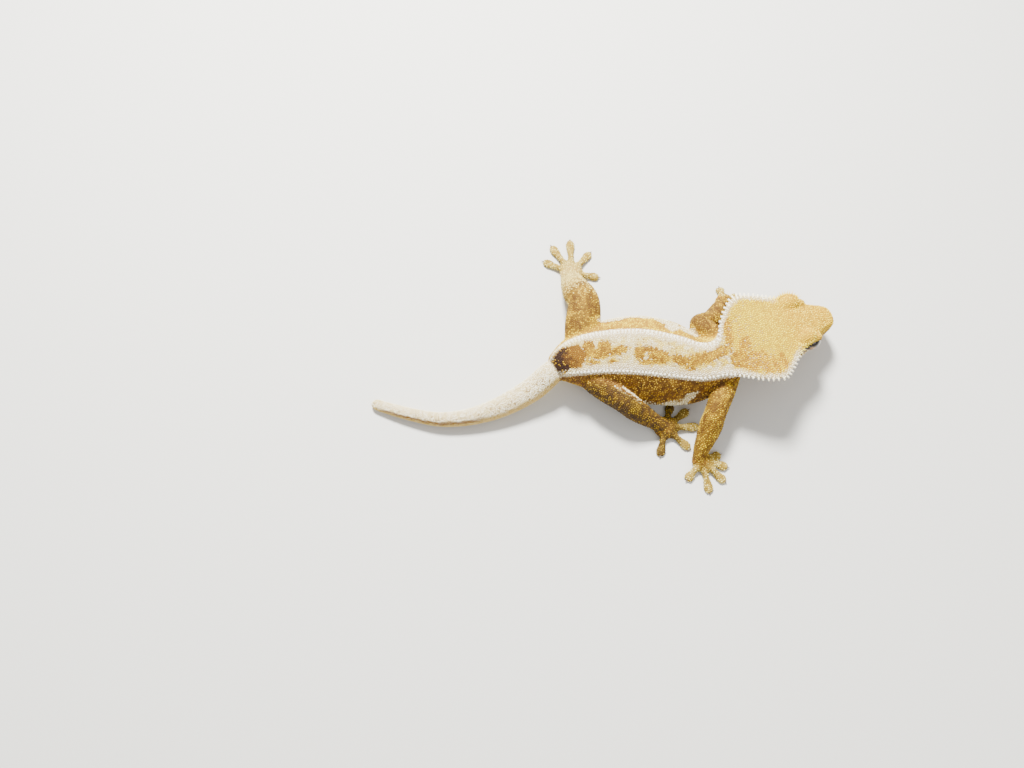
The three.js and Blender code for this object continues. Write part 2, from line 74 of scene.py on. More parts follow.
def placed(axis, across, up):
    """A point beside and above a body axis, in millimetres."""
    return Vector((axis["x"], axis["y"], axis["z"])) + turn_of(axis) @ Vector((0.0, across, up))


def in_head(x, y, z):
    """A point given from the crown's middle: forwards, to the animal's left, and up."""
    yaw = math.radians(HEAD_AXIS["yaw"])
    axis = dict(HEAD_AXIS)
    axis["x"] += x * math.cos(yaw)
    axis["y"] += x * math.sin(yaw)
    axis["z"] -= x * HEAD_AXIS["fall"]
    return placed(axis, y, z)


eye_low, eye_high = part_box("eye_left")
eye_local = in_head(EYE["x"], EYE["y"], EYE["z"])
OFFSET = (Vector(eye_low) + Vector(eye_high)) / 2 - eye_local * MM
OFFSET.z = 0.0


def world(point):
    """From modelling millimetres to the frame's metres."""
    return Vector(point) * MM + OFFSET


# Camera: above and a little to the animal's right, as a visitor bends over the model, with a wide
# lens about 280 mm away. Nothing holds it and it has no depth of field.
CAMERA_LENS = 26.0
CAMERA_ELEVATION = 73.0
CAMERA_AT = (-51.3, -91.1, 281.7)

camera_data = bpy.data.cameras.new("camera")
camera_data.lens = CAMERA_LENS
camera = bpy.data.objects.new("camera", camera_data)
camera.location = world(CAMERA_AT)
camera.rotation_euler = (math.radians(90.0 - CAMERA_ELEVATION), 0.0, 0.0)
camera_data.clip_start = 0.01
camera_data.clip_end = 10.0
bpy.context.scene.collection.objects.link(camera)
bpy.context.scene.camera = camera


# Light: a pale world, one small soft key from the head's far side, which throws the shadows towards
# the camera, and a weak fill from the other side.
def area_light(name, at, aim, size, power, tint):
    data = bpy.data.lights.new(name, "AREA")
    data.size = size
    data.energy = power
    data.color = tint
    light = bpy.data.objects.new(name, data)
    light.location = at
    light.rotation_euler = (Vector(at) - Vector(aim)).to_track_quat("Z", "Y").to_euler()
    bpy.context.scene.collection.objects.link(light)


world_data = bpy.data.worlds.new("studio")
world_data.use_nodes = True
world_data.node_tree.nodes["Background"].inputs["Color"].default_value = (0.98, 0.99, 1.0, 1.0)
world_data.node_tree.nodes["Background"].inputs["Strength"].default_value = 0.84
bpy.context.scene.world = world_data
area_light("key", (-0.12, 0.42, 0.55), (0.0, 0.0, 0.0), 0.14, 25.0, (1.0, 1.0, 0.97))
area_light("fill", (0.35, -0.45, 0.4), (0.0, 0.0, 0.0), 0.4, 1.6, (1.0, 1.0, 1.0))


# Floor: a plain pale board with a matt finish that the model lies on. It is wide enough to fill
# the picture from every side.
FLOOR_HALF = 3.0


def new_object(name, mesh):
    piece = bpy.data.objects.new(name, mesh)
    bpy.context.scene.collection.objects.link(piece)
    return piece


def colour(hexadecimal):
    """A screen colour as the linear values that shaders take."""
    channels = [int(hexadecimal[i : i + 2], 16) / 255 for i in (0, 2, 4)]
    linear = [c / 12.92 if c <= 0.04045 else ((c + 0.055) / 1.055) ** 2.4 for c in channels]
    return (*linear, 1.0)


def finish_material(name, base, roughness):
    material = bpy.data.materials.new(name)
    material.use_nodes = True
    shader = material.node_tree.nodes["Principled BSDF"]
    shader.inputs["Base Color"].default_value = base
    shader.inputs["Roughness"].default_value = roughness
    return material, shader


floor_bm = bmesh.new()
bmesh.ops.create_grid(floor_bm, x_segments=1, y_segments=1, size=FLOOR_HALF)
floor_mesh = bpy.data.meshes.new("floor")
floor_bm.to_mesh(floor_mesh)
floor_bm.free()
floor = new_object("floor", floor_mesh)
floor_material, _ = finish_material("floor board", colour("D8D6D0"), 0.8)
floor.data.materials.append(floor_material)


# Body form: the trunk, neck and head are one run of cross sections from the vent to the snout. Each
# section has a ridge on each side of the back, which carries the crest, a flank and a belly.
FIELDS = (
    "x", "y", "z", "yaw", "roll", "top", "crest", "crest_z", "under", "side", "side_z", "low", "bottom",
)
BODY = (
    (-34.6, -1.9, 10.0, 31, 3, 4.4, 3.4, 3.4, 4.6, 4.9, -0.2, 3.6, -4.8),
    (-32.8, -0.9, 10.0, 24, 4, 6.4, 4.6, 5.4, 5.8, 6.2, 0.0, 4.4, -5.4),
    (-29.8, 0.6, 10.0, 15, 5, 7.8, 5.8, 6.8, 7.4, 8.4, 0.2, 6.0, -6.4),
    (-24.5, 2.0, 10.0, 8, 6, 9.0, 6.8, 8.0, 9.4, 11.2, 0.0, 7.8, -7.2),
    (-15.0, 3.0, 10.0, 2, 6, 10.4, 7.5, 9.2, 11.8, 14.8, -1.0, 10.6, -8.0),
    (-2.0, 2.8, 10.0, -4, 6, 11.2, 8.0, 9.8, 13.2, 17.2, -1.5, 12.2, -8.4),
    (11.0, 0.7, 10.0, -6, 6, 11.2, 7.4, 9.8, 12.6, 16.4, -1.5, 11.8, -8.4),
    (20.0, -1.3, 10.0, -2, 5, 11.0, 6.5, 9.8, 10.2, 13.4, -1.0, 9.4, -7.8),
    (27.2, -0.3, 11.2, 15, 4, 10.8, 6.9, 10.2, 8.6, 10.4, -0.4, 7.4, -7.6),
    (31.1, 2.2, 13.4, 23, 4, 9.8, 11.4, 9.2, 8.8, 9.4, -1.2, 6.8, -8.6),
    (35.6, 4.3, 15.4, 26.5, 4, 9.4, 15.7, 9.0, 10.2, 10.0, -2.2, 7.2, -10.2),
    (40.2, 6.3, 16.0, 28, 4, 9.8, 17.8, 9.2, 11.8, 11.8, -2.6, 8.2, -10.8),
    (44.3, 8.2, 15.3, 26, 4, 10.2, 16.1, 9.4, 12.4, 13.0, -3.0, 9.0, -10.2),
    (48.4, 10.1, 14.7, 24, 4, 10.4, 13.4, 9.6, 12.0, 12.8, -3.0, 9.0, -9.6),
    (52.1, 11.8, 14.1, 23, 4, 10.5, 11.0, 9.7, 10.4, 12.0, -3.0, 8.6, -9.0),
    (55.8, 13.3, 13.5, 22.2, 4, 10.3, 9.1, 9.4, 8.6, 11.0, -3.0, 7.8, -8.2),
    (59.5, 14.7, 12.9, 21.5, 4, 9.2, 7.3, 8.2, 7.6, 9.9, -2.8, 6.8, -7.4),
    (63.2, 16.0, 12.3, 20.8, 4, 7.6, 5.8, 6.6, 6.7, 8.5, -2.4, 5.8, -6.6),
    (67.0, 17.2, 11.7, 20.2, 3, 6.3, 4.8, 5.3, 5.7, 6.9, -2.0, 4.7, -5.7),
    (70.4, 18.3, 11.1, 19.6, 3, 5.2, 3.9, 4.3, 4.7, 5.3, -1.6, 3.5, -4.8),
    (72.8, 19.0, 10.8, 19.2, 3, 3.8, 2.9, 2.9, 3.4, 3.8, -1.3, 2.3, -3.7),
    (74.0, 19.4, 10.6, 19, 3, 1.4, 1.0, 0.9, 1.4, 1.5, -1.0, 0.9, -2.3),
)
CROWN_ROW = 11
LAST_ROW = len(BODY) - 1
AROUND = 4  # steps between two corners of a section
ROW_STEP = 0.2


def ease(a, b, c, d, share):
    """A smooth curve from b to c that also heeds their neighbours."""
    low = (c - a) / 2
    high = (d - b) / 2
    s2 = share * share
    s3 = s2 * share
    return (2 * s3 - 3 * s2 + 1) * b + (s3 - 2 * s2 + share) * low + (3 * s2 - 2 * s3) * c + (s3 - s2) * high


def pick(rows, index):
    return rows[min(max(index, 0), len(rows) - 1)]


def blend_rows(rows, place):
    """All values of a table of rows at a place between two of them."""
    base = min(int(place), len(rows) - 2)
    near = [pick(rows, base + k) for k in (-1, 0, 1, 2)]
    return [ease(a, b, c, d, place - base) for a, b, c, d in zip(*near)]


def station_at(place):
    return dict(zip(FIELDS, blend_rows(BODY, place)))


def half_section(s):
    """From the spine down to the belly: back, crest, flank, lower flank, belly."""
    return (
        (0.0, s["top"]),
        (s["crest"] * 0.55, lerp(s["top"], s["crest_z"], 0.3)),
        (s["crest"], s["crest_z"]),
        (s["under"], lerp(s["crest_z"], s["side_z"], 0.42)),
        (s["side"], s["side_z"]),
        (lerp(s["low"], s["side"], 0.55), lerp(s["side_z"], s["bottom"], 0.6)),
        (s["low"] * 0.55, lerp(s["bottom"], s["side_z"], 0.06)),
        (0.0, s["bottom"]),
    )


def section_ring(place):
    station = station_at(place)
    half = half_section(station)
    corners = list(half) + [(-across, up) for across, up in reversed(half[1:-1])]
    ring = []
    for i in range(len(corners)):
        near = [corners[(i + k) % len(corners)] for k in (-1, 0, 1, 2)]
        for step in range(AROUND):
            across, up = [ease(a, b, c, d, step / AROUND) for a, b, c, d in zip(*near)]
            ring.append(world(placed(station, across, up)))
    return ring


def loft(bm, rings):
    """A closed skin over rings of equal count: circles moved to their places and bridged."""
    edge_loops = []
    for number, ring in enumerate(rings):
        is_end = number in (0, len(rings) - 1)
        made = bmesh.ops.create_circle(bm, cap_ends=is_end, segments=len(ring), radius=1.0)
        for vert, point in zip(made["verts"], ring):
            vert.co = point
        edge_loops.append(list(dict.fromkeys(e for vert in made["verts"] for e in vert.link_edges)))
    for first, second in zip(edge_loops, edge_loops[1:]):
        bmesh.ops.bridge_loops(bm, edges=first + second)


def body_rings():
    count = round(LAST_ROW / ROW_STEP)
    return [section_ring(LAST_ROW * i / count) for i in range(count + 1)]


# Tail: a tapering oval of flesh that leaves the hips downwards, lies on the ground and ends in a
# blunt tip. Each row is the middle's x, y and z, with half width and half height.
TAIL = (
    (-32.4, -0.6, 9.9, 4.0, 4.0),
    (-37.0, -4.0, 9.0, 4.7, 4.4),
    (-44.0, -9.4, 6.0, 4.7, 4.2),
    (-55.5, -15.4, 3.9, 4.1, 4.0),
    (-67.5, -19.2, 3.1, 3.3, 3.2),
    (-79.3, -20.2, 2.7, 2.8, 2.8),
    (-91.0, -18.0, 2.3, 2.5, 2.4),
    (-100.0, -15.4, 1.8, 2.3, 1.9),
    (-104.6, -13.8, 1.5, 2.1, 1.6),
    (-106.3, -13.2, 1.4, 0.9, 0.7),
)


def tube_rings(rows, sides, steps):
    """Oval rings along a run of (x, y, z, half width, half height)."""
    rings = []
    for i in range(steps + 1):
        place = i / steps * (len(rows) - 1)
        x, y, z, wide, high = blend_rows(rows, place)
        ahead = Vector(blend_rows(rows, min(place + 0.01, len(rows) - 1))[:3])
        behind = Vector(blend_rows(rows, max(place - 0.01, 0.0))[:3])
        along = (ahead - behind).normalized()
        across = Vector((0.0, 0.0, 1.0)).cross(along).normalized()
        up = along.cross(across)
        ring = []
        for k in range(sides):
            angle = k / sides * math.tau
            point = Vector((x, y, z)) + across * math.cos(angle) * wide + up * math.sin(angle) * high
            point.z = max(point.z, 0.0)
            ring.append(world(point))
        rings.append(ring)
    return rings


# Limbs: joints from the trunk outwards, with half width and half height. Each has a full upper
# part, a narrower elbow or knee and a forearm or shank that swells below it.
LIMBS = {
    "arm_right": (
        (31.8, -3, 12.5, 4.8, 4.6), (28.8, -11.5, 12.8, 4.4, 4.3), (25.4, -19.8, 12.4, 4.0, 3.8),
        (23.6, -25.5, 9.0, 4.2, 3.7), (20.9, -33, 3.9, 2.9, 2.4), (21.4, -36.0, 2.2, 2.9, 1.8),
    ),
    "arm_left": (
        (30, 3, 12.5, 5.0, 4.6), (26.0, 10.5, 13.2, 4.6, 4.3), (21.8, 15.5, 12.4, 3.8, 3.6),
        (27.2, 18.8, 9.2, 3.6, 3.4), (32.6, 26.2, 4.2, 2.8, 2.4), (35.6, 29.2, 2.2, 2.9, 1.8),
    ),
    "leg_right": (
        (-24.5, -1, 10.5, 5.6, 5.0), (-16.8, -8.4, 10.8, 5.6, 5.2), (-8.8, -14.9, 10.6, 4.5, 4.3),
        (-3.4, -18.0, 7.6, 4.3, 4.0), (4.6, -21.8, 3.8, 3.0, 2.4), (7.8, -23.0, 2.2, 3.1, 1.8),
    ),
    "leg_left": (
        (-25, 4, 11, 5.8, 5.0), (-23.9, 14.5, 13.2, 6.8, 5.2), (-23.1, 24.2, 13.4, 6.2, 4.7),
        (-25.4, 31.0, 10.0, 5.9, 4.3), (-26.9, 38.8, 4.0, 4.4, 2.7), (-26.7, 42.0, 2.2, 3.5, 1.8),
    ),
}

# Hands and feet: a low palm, five toes that widen into pads, and thin webs between their roots.
# Each has its palm's middle and size, and then the tips of its toes.
PAWS = {
    "hand_right": (
        (21.6, -36.2), 3.9, ((15.4, -43.8), (23.9, -48.6), (30.2, -44.4), (31.6, -38.6), (29.2, -33.6))
    ),
    "hand_left": (
        (35.8, 29.4), 3.9, ((34.4, 36.6), (41.8, 33.0), (46.4, 28.4), (45.4, 22.2), (39.0, 19.4))
    ),
    "foot_right": (
        (8.2, -23.2), 4.4, ((5.8, -34.4), (17.6, -31.4), (21.8, -22.6), (18.0, -15.8), (11.2, -13.6))
    ),
    "foot_left": (
        (-26.6, 42.6), 4.8, ((-38.2, 48.4), (-34.8, 55.6), (-26.8, 58.2), (-18.4, 52.6), (-15.2, 41.2))
    ),
}
TOE_SHAPE = (
    (0.1, 1.5, 1.45, 1.5), (0.3, 1.5, 1.25, 1.35), (0.5, 1.3, 1.15, 1.2), (0.66, 0.95, 1.5, 0.9),
    (0.8, 0.8, 1.95, 0.8), (0.92, 0.7, 1.75, 0.72), (0.985, 0.6, 1.0, 0.6), (1.0, 0.6, 0.35, 0.3),
)
WEB_REACH = 0.52
WEB_THICKNESS = 1.0
PALM_MIDDLE = 1.5
PALM_HALF_HEIGHT = 2.2


def toe_rows(palm, tip):
    return [
        (lerp(palm[0], tip[0], share), lerp(palm[1], tip[1], share), high, half_wide, half_high)
        for share, high, half_wide, half_high in TOE_SHAPE
    ]


def add_web(bm, palm, toes):
    """A thin scalloped fan between the toes' roots."""
    rim = [(palm[0], palm[1])]
    for i, tip in enumerate(toes):
        if i > 0:
            before = toes[i - 1]
            valley = [(tip[k] + before[k]) / 2 for k in (0, 1)]
            rim.append([lerp(palm[k], valley[k], WEB_REACH * 0.8) for k in (0, 1)])
        rim.append([lerp(palm[k], tip[k], WEB_REACH) for k in (0, 1)])
    verts = [bm.verts.new(world((x, y, 0.2))) for x, y in rim]
    face = bm.faces.new(verts)
    made = bmesh.ops.extrude_face_region(bm, geom=[face])
    raised = [v for v in made["geom"] if isinstance(v, bmesh.types.BMVert)]
    bmesh.ops.translate(bm, verts=raised, vec=(0, 0, WEB_THICKNESS * MM))


def add_palm(bm, palm, size):
    made = bmesh.ops.create_icosphere(bm, subdivisions=3, radius=1.0)
    for vert in made["verts"]:
        up = max(PALM_MIDDLE + vert.co.z * PALM_HALF_HEIGHT, 0.0)
        vert.co = world((palm[0] + vert.co.x * size, palm[1] + vert.co.y * size, up))


# Brows and eye rims: a low bulge of skin over each eye and a raised ring round it. The brows lean
# a little to the animal's left.
BROW = {"x": 16.4, "y": 7.3, "z": 8.8, "length": 5.4, "width": 3.3, "height": 2.4, "lean": 1.4}
RIM = 0.8
RIM_FLATNESS = 0.78
RIM_DROP = 0.2


def head_ball(bm, x, y, z, radii, subdivisions):
    made = bmesh.ops.create_icosphere(bm, subdivisions=subdivisions, radius=1.0)
    turn = turn_of(HEAD_AXIS)
    centre = in_head(x, y, z)
    for vert in made["verts"]:
        vert.co = world(centre + turn @ Vector([vert.co[k] * radii[k] for k in range(3)]))


skin_bm = bmesh.new()
loft(skin_bm, body_rings())
loft(skin_bm, tube_rings(TAIL, 24, 90))
for rows in LIMBS.values():
    loft(skin_bm, tube_rings(rows, 20, 36))
for palm, size, toes in PAWS.values():
    add_palm(skin_bm, palm, size)
    add_web(skin_bm, palm, toes)
    for tip in toes:
        loft(skin_bm, tube_rings(toe_rows(palm, tip), 12, 24))
for side in (1, -1):
    brow_radii = (BROW["length"], BROW["width"], BROW["height"])
    head_ball(skin_bm, BROW["x"], side * BROW["y"] + BROW["lean"], BROW["z"], brow_radii, 3)
    rim_radius = EYE["radius"] + RIM
    rim_radii = (rim_radius, EYE["radius"] * RIM_FLATNESS, rim_radius)
    head_ball(skin_bm, EYE["x"], side * EYE["y"], EYE["z"] - RIM_DROP, rim_radii, 3)
bmesh.ops.recalc_face_normals(skin_bm, faces=skin_bm.faces)
skin_mesh = bpy.data.meshes.new("gecko_skin")
skin_bm.to_mesh(skin_mesh)
skin_bm.free()
skin = new_object("gecko_skin", skin_mesh)


# One skin: the forms are melted into one surface, smoothed, and then cut by the eye sockets, the
# nostrils, the ear cups and the line of the mouth.
VOXEL = 0.48 * MM


def apply_modifier(piece, kind, **settings):
    modifier = piece.modifiers.new(kind, kind)
    for key, value in settings.items():
        setattr(modifier, key, value)
    graph = bpy.context.evaluated_depsgraph_get()
    made = bpy.data.meshes.new_from_object(piece.evaluated_get(graph), depsgraph=graph)
    piece.modifiers.clear()
    old = piece.data
    piece.data = made
    bpy.data.meshes.remove(old)


apply_modifier(skin, "REMESH", mode="VOXEL", voxel_size=VOXEL)
apply_modifier(skin, "SMOOTH", factor=0.5, iterations=6)

MOUTH = {"corner": 9.5, "drop": -3.4, "tip": -1.4, "slot": 0.36, "depth": 0.8, "reach": 1.6, "flare": 2.2}
SOCKET_GAP = 0.12
NOSTRIL = {"x": 34.2, "y": 2.8, "z": 1.2, "radius": 0.6}
EAR = {"x": 3.6, "y": 12.6, "z": -2.4, "length": 1.1, "depth": 1.5, "height": 1.9}
LIP_STEPS = 30


def lip_path():
    """The lip line, from the left corner round the snout to the right one, in head millimetres."""
    rows = []
    for row in BODY[CROWN_ROW:]:
        named = dict(zip(FIELDS, row))
        rows.append((math.hypot(named["x"] - HEAD_AXIS["x"], named["y"] - HEAD_AXIS["y"]), named["side"]))
    path = []
    for side in (1, -1):
        half = []
        for i in range(LIP_STEPS):
            share = i / (LIP_STEPS - 0.4)
            x = lerp(MOUTH["corner"], rows[-1][0] - 0.1, math.sin(share * math.pi / 2))
            following = next(k for k, row in enumerate(rows) if row[0] > x)
            near, far = rows[following - 1], rows[following]
            wide = lerp(near[1], far[1], (x - near[0]) / (far[0] - near[0]))
            drop = lerp(MOUTH["drop"], MOUTH["tip"], share ** 3) + 1.3 * (1 - share) ** 4
            half.append(Vector((x, side * wide, drop)))
        path += half if side > 0 else half[::-1]
    return path


def lip_outward(path, index):
    before = path[max(index - 1, 0)]
    after = path[min(index + 1, len(path) - 1)]
    return Vector((-(after.y - before.y), after.x - before.x, 0.0)).normalized()


def cutter(name, build):
    bm = bmesh.new()
    build(bm)
    bmesh.ops.recalc_face_normals(bm, faces=bm.faces)
    mesh = bpy.data.meshes.new(name)
    bm.to_mesh(mesh)
    bm.free()
    return new_object(name, mesh)


def build_mouth(bm):
    path = lip_path()
    rings = []
    for i, point in enumerate(path):
        out = lip_outward(path, i)
        half = MOUTH["slot"] / 2
        corners = []
        flare = half * MOUTH["flare"]
        for reach, up in ((-MOUTH["depth"], 0.0), (MOUTH["reach"], -flare), (MOUTH["reach"], flare)):
            p = point + out * reach
            corners.append(world(in_head(p.x, p.y, p.z + up)))
        rings.append(corners)
    loft(bm, rings)


def build_openings(bm):
    for side in (1, -1):
        socket = EYE["radius"] + SOCKET_GAP
        head_ball(bm, EYE["x"], side * EYE["y"], EYE["z"], (socket, socket, socket), 5)
        head_ball(bm, NOSTRIL["x"], side * NOSTRIL["y"], NOSTRIL["z"], (NOSTRIL["radius"],) * 3, 3)
        head_ball(bm, EAR["x"], side * EAR["y"], EAR["z"], (EAR["length"], EAR["depth"], EAR["height"]), 4)


for name, build in (("mouth_cutter", build_mouth), ("opening_cutter", build_openings)):
    tool = cutter(name, build)
    apply_modifier(skin, "BOOLEAN", operation="DIFFERENCE", object=tool, solver="MANIFOLD")
    bpy.data.objects.remove(tool)

# Regions: every point of the skin knows how far along the body it lies, how far inside the crest
# line, how high on the flank, and whether it is leg, paw or tail. The markings read these.
CENTRE_STEP = 0.05
MOST_STEPS = 80
RUN_STEP = 36
TAIL_STEPS = 90
TOE_STEPS = 11
TOE_LEAST = 1.5


def axis_samples():
    """Stations along the body, with the length run from the vent in millimetres."""
    samples = []
    run = 0.0
    before = None
    for i in range(round(LAST_ROW / CENTRE_STEP) + 1):
        station = station_at(i * CENTRE_STEP)
        here = Vector((station["x"], station["y"]))
        if before is not None:
            run += (here - before).length
        before = here
        station["run"] = run
        samples.append(station)
    return samples


def limb_samples():
    """Points down every limb, with the half width there and the share of the limb's length."""
    samples = []
    for rows in LIMBS.values():
        for i in range(RUN_STEP + 1):
            x, y, z, wide, high = blend_rows(rows, i / RUN_STEP * (len(rows) - 1))
            samples.append((Vector((x, y, z)), (wide + high) / 2, i / RUN_STEP))
    for palm, _, toes in PAWS.values():
        for tip in toes:
            for i in range(TOE_STEPS + 1):
                share = i / TOE_STEPS
                x, y, z, wide, _ = blend_rows(toe_rows(palm, tip), share * (len(TOE_SHAPE) - 1))
                samples.append((Vector((x, y, z)), max(wide, TOE_LEAST), 1.0 + share))
    return samples


def tail_samples():
    """Points down the tail's middle, with the direction to its left and the half width."""
    samples = []
    for i in range(TAIL_STEPS + 1):
        place = i / TAIL_STEPS * (len(TAIL) - 1)
        x, y, _, wide, _ = blend_rows(TAIL, place)
        ahead = blend_rows(TAIL, min(place + 0.05, len(TAIL) - 1))
        behind = blend_rows(TAIL, max(place - 0.05, 0.0))
        left = Vector((ahead[1] - behind[1], behind[0] - ahead[0], 0.0)).normalized()
        samples.append((Vector((x, y, 0.0)), left, wide))
    return samples


def step_between(low, high, value):
    share = min(max((value - low) / (high - low), 0.0), 1.0)
    return share * share * (3 - 2 * share)


AXIS = axis_samples()
LIMB_POINTS = limb_samples()
TAIL_POINTS = tail_samples()
axis_tree = KDTree(len(AXIS))
for number, station in enumerate(AXIS):
    axis_tree.insert((station["x"], station["y"], 0.0), number)
axis_tree.balance()
limb_tree = KDTree(len(LIMB_POINTS))
for number, sample in enumerate(LIMB_POINTS):
    limb_tree.insert(sample[0], number)
limb_tree.balance()
tail_tree = KDTree(len(TAIL_POINTS))
for number, sample in enumerate(TAIL_POINTS):
    tail_tree.insert(sample[0], number)
tail_tree.balance()

# Patches of colour on the back, seen from above: middle, half length, half width and turn
PATCHES = {
    "blotch": (
        (-22.4, 3.0, 2.6, 4.2, 0), (-16.4, 2.6, 2.9, 4.0, 8), (-19.4, 0.8, 4.4, 2.3, 0),
        (-11.4, 1.9, 4.4, 2.0, 14), (-20.9, -2.4, 2.8, 1.4, 0), (-14.0, -2.2, 2.1, 1.3, 10),
        (-3.6, 0.6, 2.3, 3.2, 0), (0.4, 2.1, 4.6, 1.5, -6), (3.8, -0.7, 4.6, 2.9, -14),
        (-0.8, -2.6, 3.4, 1.4, 0), (11.4, -2.0, 4.0, 2.2, -12), (17.4, -2.1, 4.2, 2.7, 12),
        (22.0, -1.0, 4.2, 2.7, 12), (26.4, 0.8, 3.4, 2.4, 16), (15.0, -4.8, 2.6, 1.5, 0),
        (33.0, -2.2, 3.4, 3.6, 30), (37.6, -3.4, 4.0, 4.0, 20), (34.8, 2.4, 2.4, 4.0, -20),
        (29.4, 7.2, 1.6, 8.0, 6), (42.0, -4.4, 1.9, 5.4, 20), (45.6, -5.4, 1.4, 4.8, 24),
        (48.9, -4.2, 1.8, 6.0, 24),
    ),
    "saddle": ((-32.4, -0.8, 7.4, 4.8, 30), (-27.8, 0.2, 4.4, 4.8, 0)),
    "pale": (
        (-5.8, -12.8, 5.4, 0.8, -28), (1.8, -15.2, 4.8, 0.7, -10), (9.6, -15.4, 5.4, 0.9, 4),
        (15.6, -14.0, 4.4, 1.2, 24), (-13.0, 17.4, 8.4, 1.8, 8), (-1.0, 19.2, 8.0, 1.8, -4),
        (7.8, 16.4, 5.2, 2.2, -32), (10.6, 13.4, 3.0, 3.8, -40), (17.0, 11.8, 4.4, 2.4, -30),
        (-4.6, -17.6, 2.8, 2.6, -40), (-9.0, -13.4, 5.0, 0.8, -38),
    ),
}
PATCH_REACH = 4.0
PATCH_FAR = 16.0


def patch_depth(local, patches):
    """Roughly how many millimetres inside the nearest patch's edge a point lies."""
    best = -PATCH_REACH
    for x, y, half_long, half_wide, turn in patches:
        away_x = local.x - x
        away_y = local.y - y
        if abs(away_x) + abs(away_y) > PATCH_FAR:
            continue
        cosine = math.cos(math.radians(turn))
        sine = math.sin(math.radians(turn))
        along = (away_x * cosine + away_y * sine) / half_long
        across = (away_y * cosine - away_x * sine) / half_wide
        best = max(best, (1.0 - math.hypot(along, across)) * min(half_long, half_wide))
    return best


# Points with no scales on them: the eye sockets, nostrils, ear cups, mouth slot and soles
BARE_LIP = 0.62
BARE_SOLE = 0.3
BARE_ROUNDS = ((EYE, EYE["radius"] + 0.45), (NOSTRIL, NOSTRIL["radius"] + 0.3), (EAR, EAR["height"]))
lip_tree = KDTree(len(lip_path()))
for number, point in enumerate(lip_path()):
    lip_tree.insert(in_head(*point), number)
lip_tree.balance()


def is_bare(local):
    for side in (1, -1):
        for hole, reach in BARE_ROUNDS:
            if (local - in_head(hole["x"], side * hole["y"], hole["z"])).length < reach:
                return True
    return local.z < BARE_SOLE or lip_tree.find(local)[2] < BARE_LIP


def ahead_of(number, local):
    """How far a point lies ahead of a station's plane."""
    s = AXIS[number]
    yaw = math.radians(s["yaw"])
    return (local.x - s["x"]) * math.cos(yaw) + (local.y - s["y"]) * math.sin(yaw)


def station_of(local):
    """The station whose plane holds the point, found by stepping on from the nearest one."""
    _, number, _ = axis_tree.find((local.x, local.y, 0.0))
    step = 1 if ahead_of(number, local) > 0.0 else -1
    for _ in range(MOST_STEPS):
        following = number + step
        if not 0 <= following < len(AXIS) or ahead_of(following, local) * step < 0.0:
            break
        number = following
    return number


def region_of(local):
    """The values of REGION_NAMES at a point given in modelling millimetres."""
    number = station_of(local)
    s = AXIS[number]
    yaw = math.radians(s["yaw"])
    roll = math.radians(s["roll"])
    away = Vector((local.x - s["x"], local.y - s["y"], local.z - s["z"]))
    flat_across = -away.x * math.sin(yaw) + away.y * math.cos(yaw)
    along = ahead_of(number, local)
    across = flat_across * math.cos(roll) + away.z * math.sin(roll)
    up = away.z * math.cos(roll) - flat_across * math.sin(roll)
    band = min(s["crest"] - abs(across), 1.5 * (up - s["crest_z"] + 1.6))
    if up > s["side_z"]:
        height = (up - s["side_z"]) / (s["crest_z"] - s["side_z"])
    else:
        height = (up - s["side_z"]) / (s["side_z"] - s["bottom"])
    half_high = (s["top"] - s["bottom"]) / 2
    body_share = math.hypot(across / s["side"], (up - (s["top"] + s["bottom"]) / 2) / half_high)
    _, index, distance = limb_tree.find(local)
    _, radius, share = LIMB_POINTS[index]
    near_limb = step_between(1.7, 1.2, distance / radius)
    leg = near_limb * step_between(1.0, 1.15, body_share) * step_between(-0.8, -2.2, band)
    tail = step_between(0.2, 1.4, -along) if number == 0 else 0.0
    leg *= 1.0 - tail
    marks = [patch_depth(local, PATCHES[kind]) for kind in ("blotch", "saddle", "pale")]
    side = min(max(across / 5.0, -1.0), 1.0)
    if tail > 0.0:
        _, index, _ = tail_tree.find((local.x, local.y, 0.0))
        middle, left, wide = TAIL_POINTS[index]
        side = min(max((local - middle).dot(left) / wide, -1.0), 1.0)
    return (s["run"], band, height, leg, leg * share, tail, side, *marks)


REGION_NAMES = ("run", "band", "height", "leg", "reach", "tail", "side", "blotch", "saddle", "pale")
NECK_RUN = 64.0
HEAD, BACK, FLANK, LIMB, TAIL_ZONE, BARE = range(6)


def zone_of(local, regions):
    run, band, _, leg, _, tail = regions[:6]
    if is_bare(local):
        return BARE
    if tail > 0.5:
        return TAIL_ZONE
    if leg > 0.5:
        return LIMB
    if run > NECK_RUN:
        return HEAD
    return BACK if band > -0.2 else FLANK


def store_column(piece, name, kind, values):
    attribute = piece.data.attributes.new(name, kind, "POINT")
    attribute.data.foreach_set("vector" if kind == "FLOAT_VECTOR" else "value", values)


def store_regions(piece):
    points = [(vert.co - OFFSET) / MM for vert in piece.data.vertices]
    table = [region_of(point) for point in points]
    for name, column in zip(REGION_NAMES, zip(*table)):
        store_column(piece, name, "FLOAT", column)
    zones = [float(zone_of(point, regions)) for point, regions in zip(points, table)]
    store_column(piece, "zone", "FLOAT", zones)
    store_column(piece, "spot", "FLOAT_VECTOR", [c for vert in piece.data.vertices for c in vert.co])


store_regions(skin)
store_column(skin, "tint", "FLOAT", [0.5] * len(skin.data.vertices))


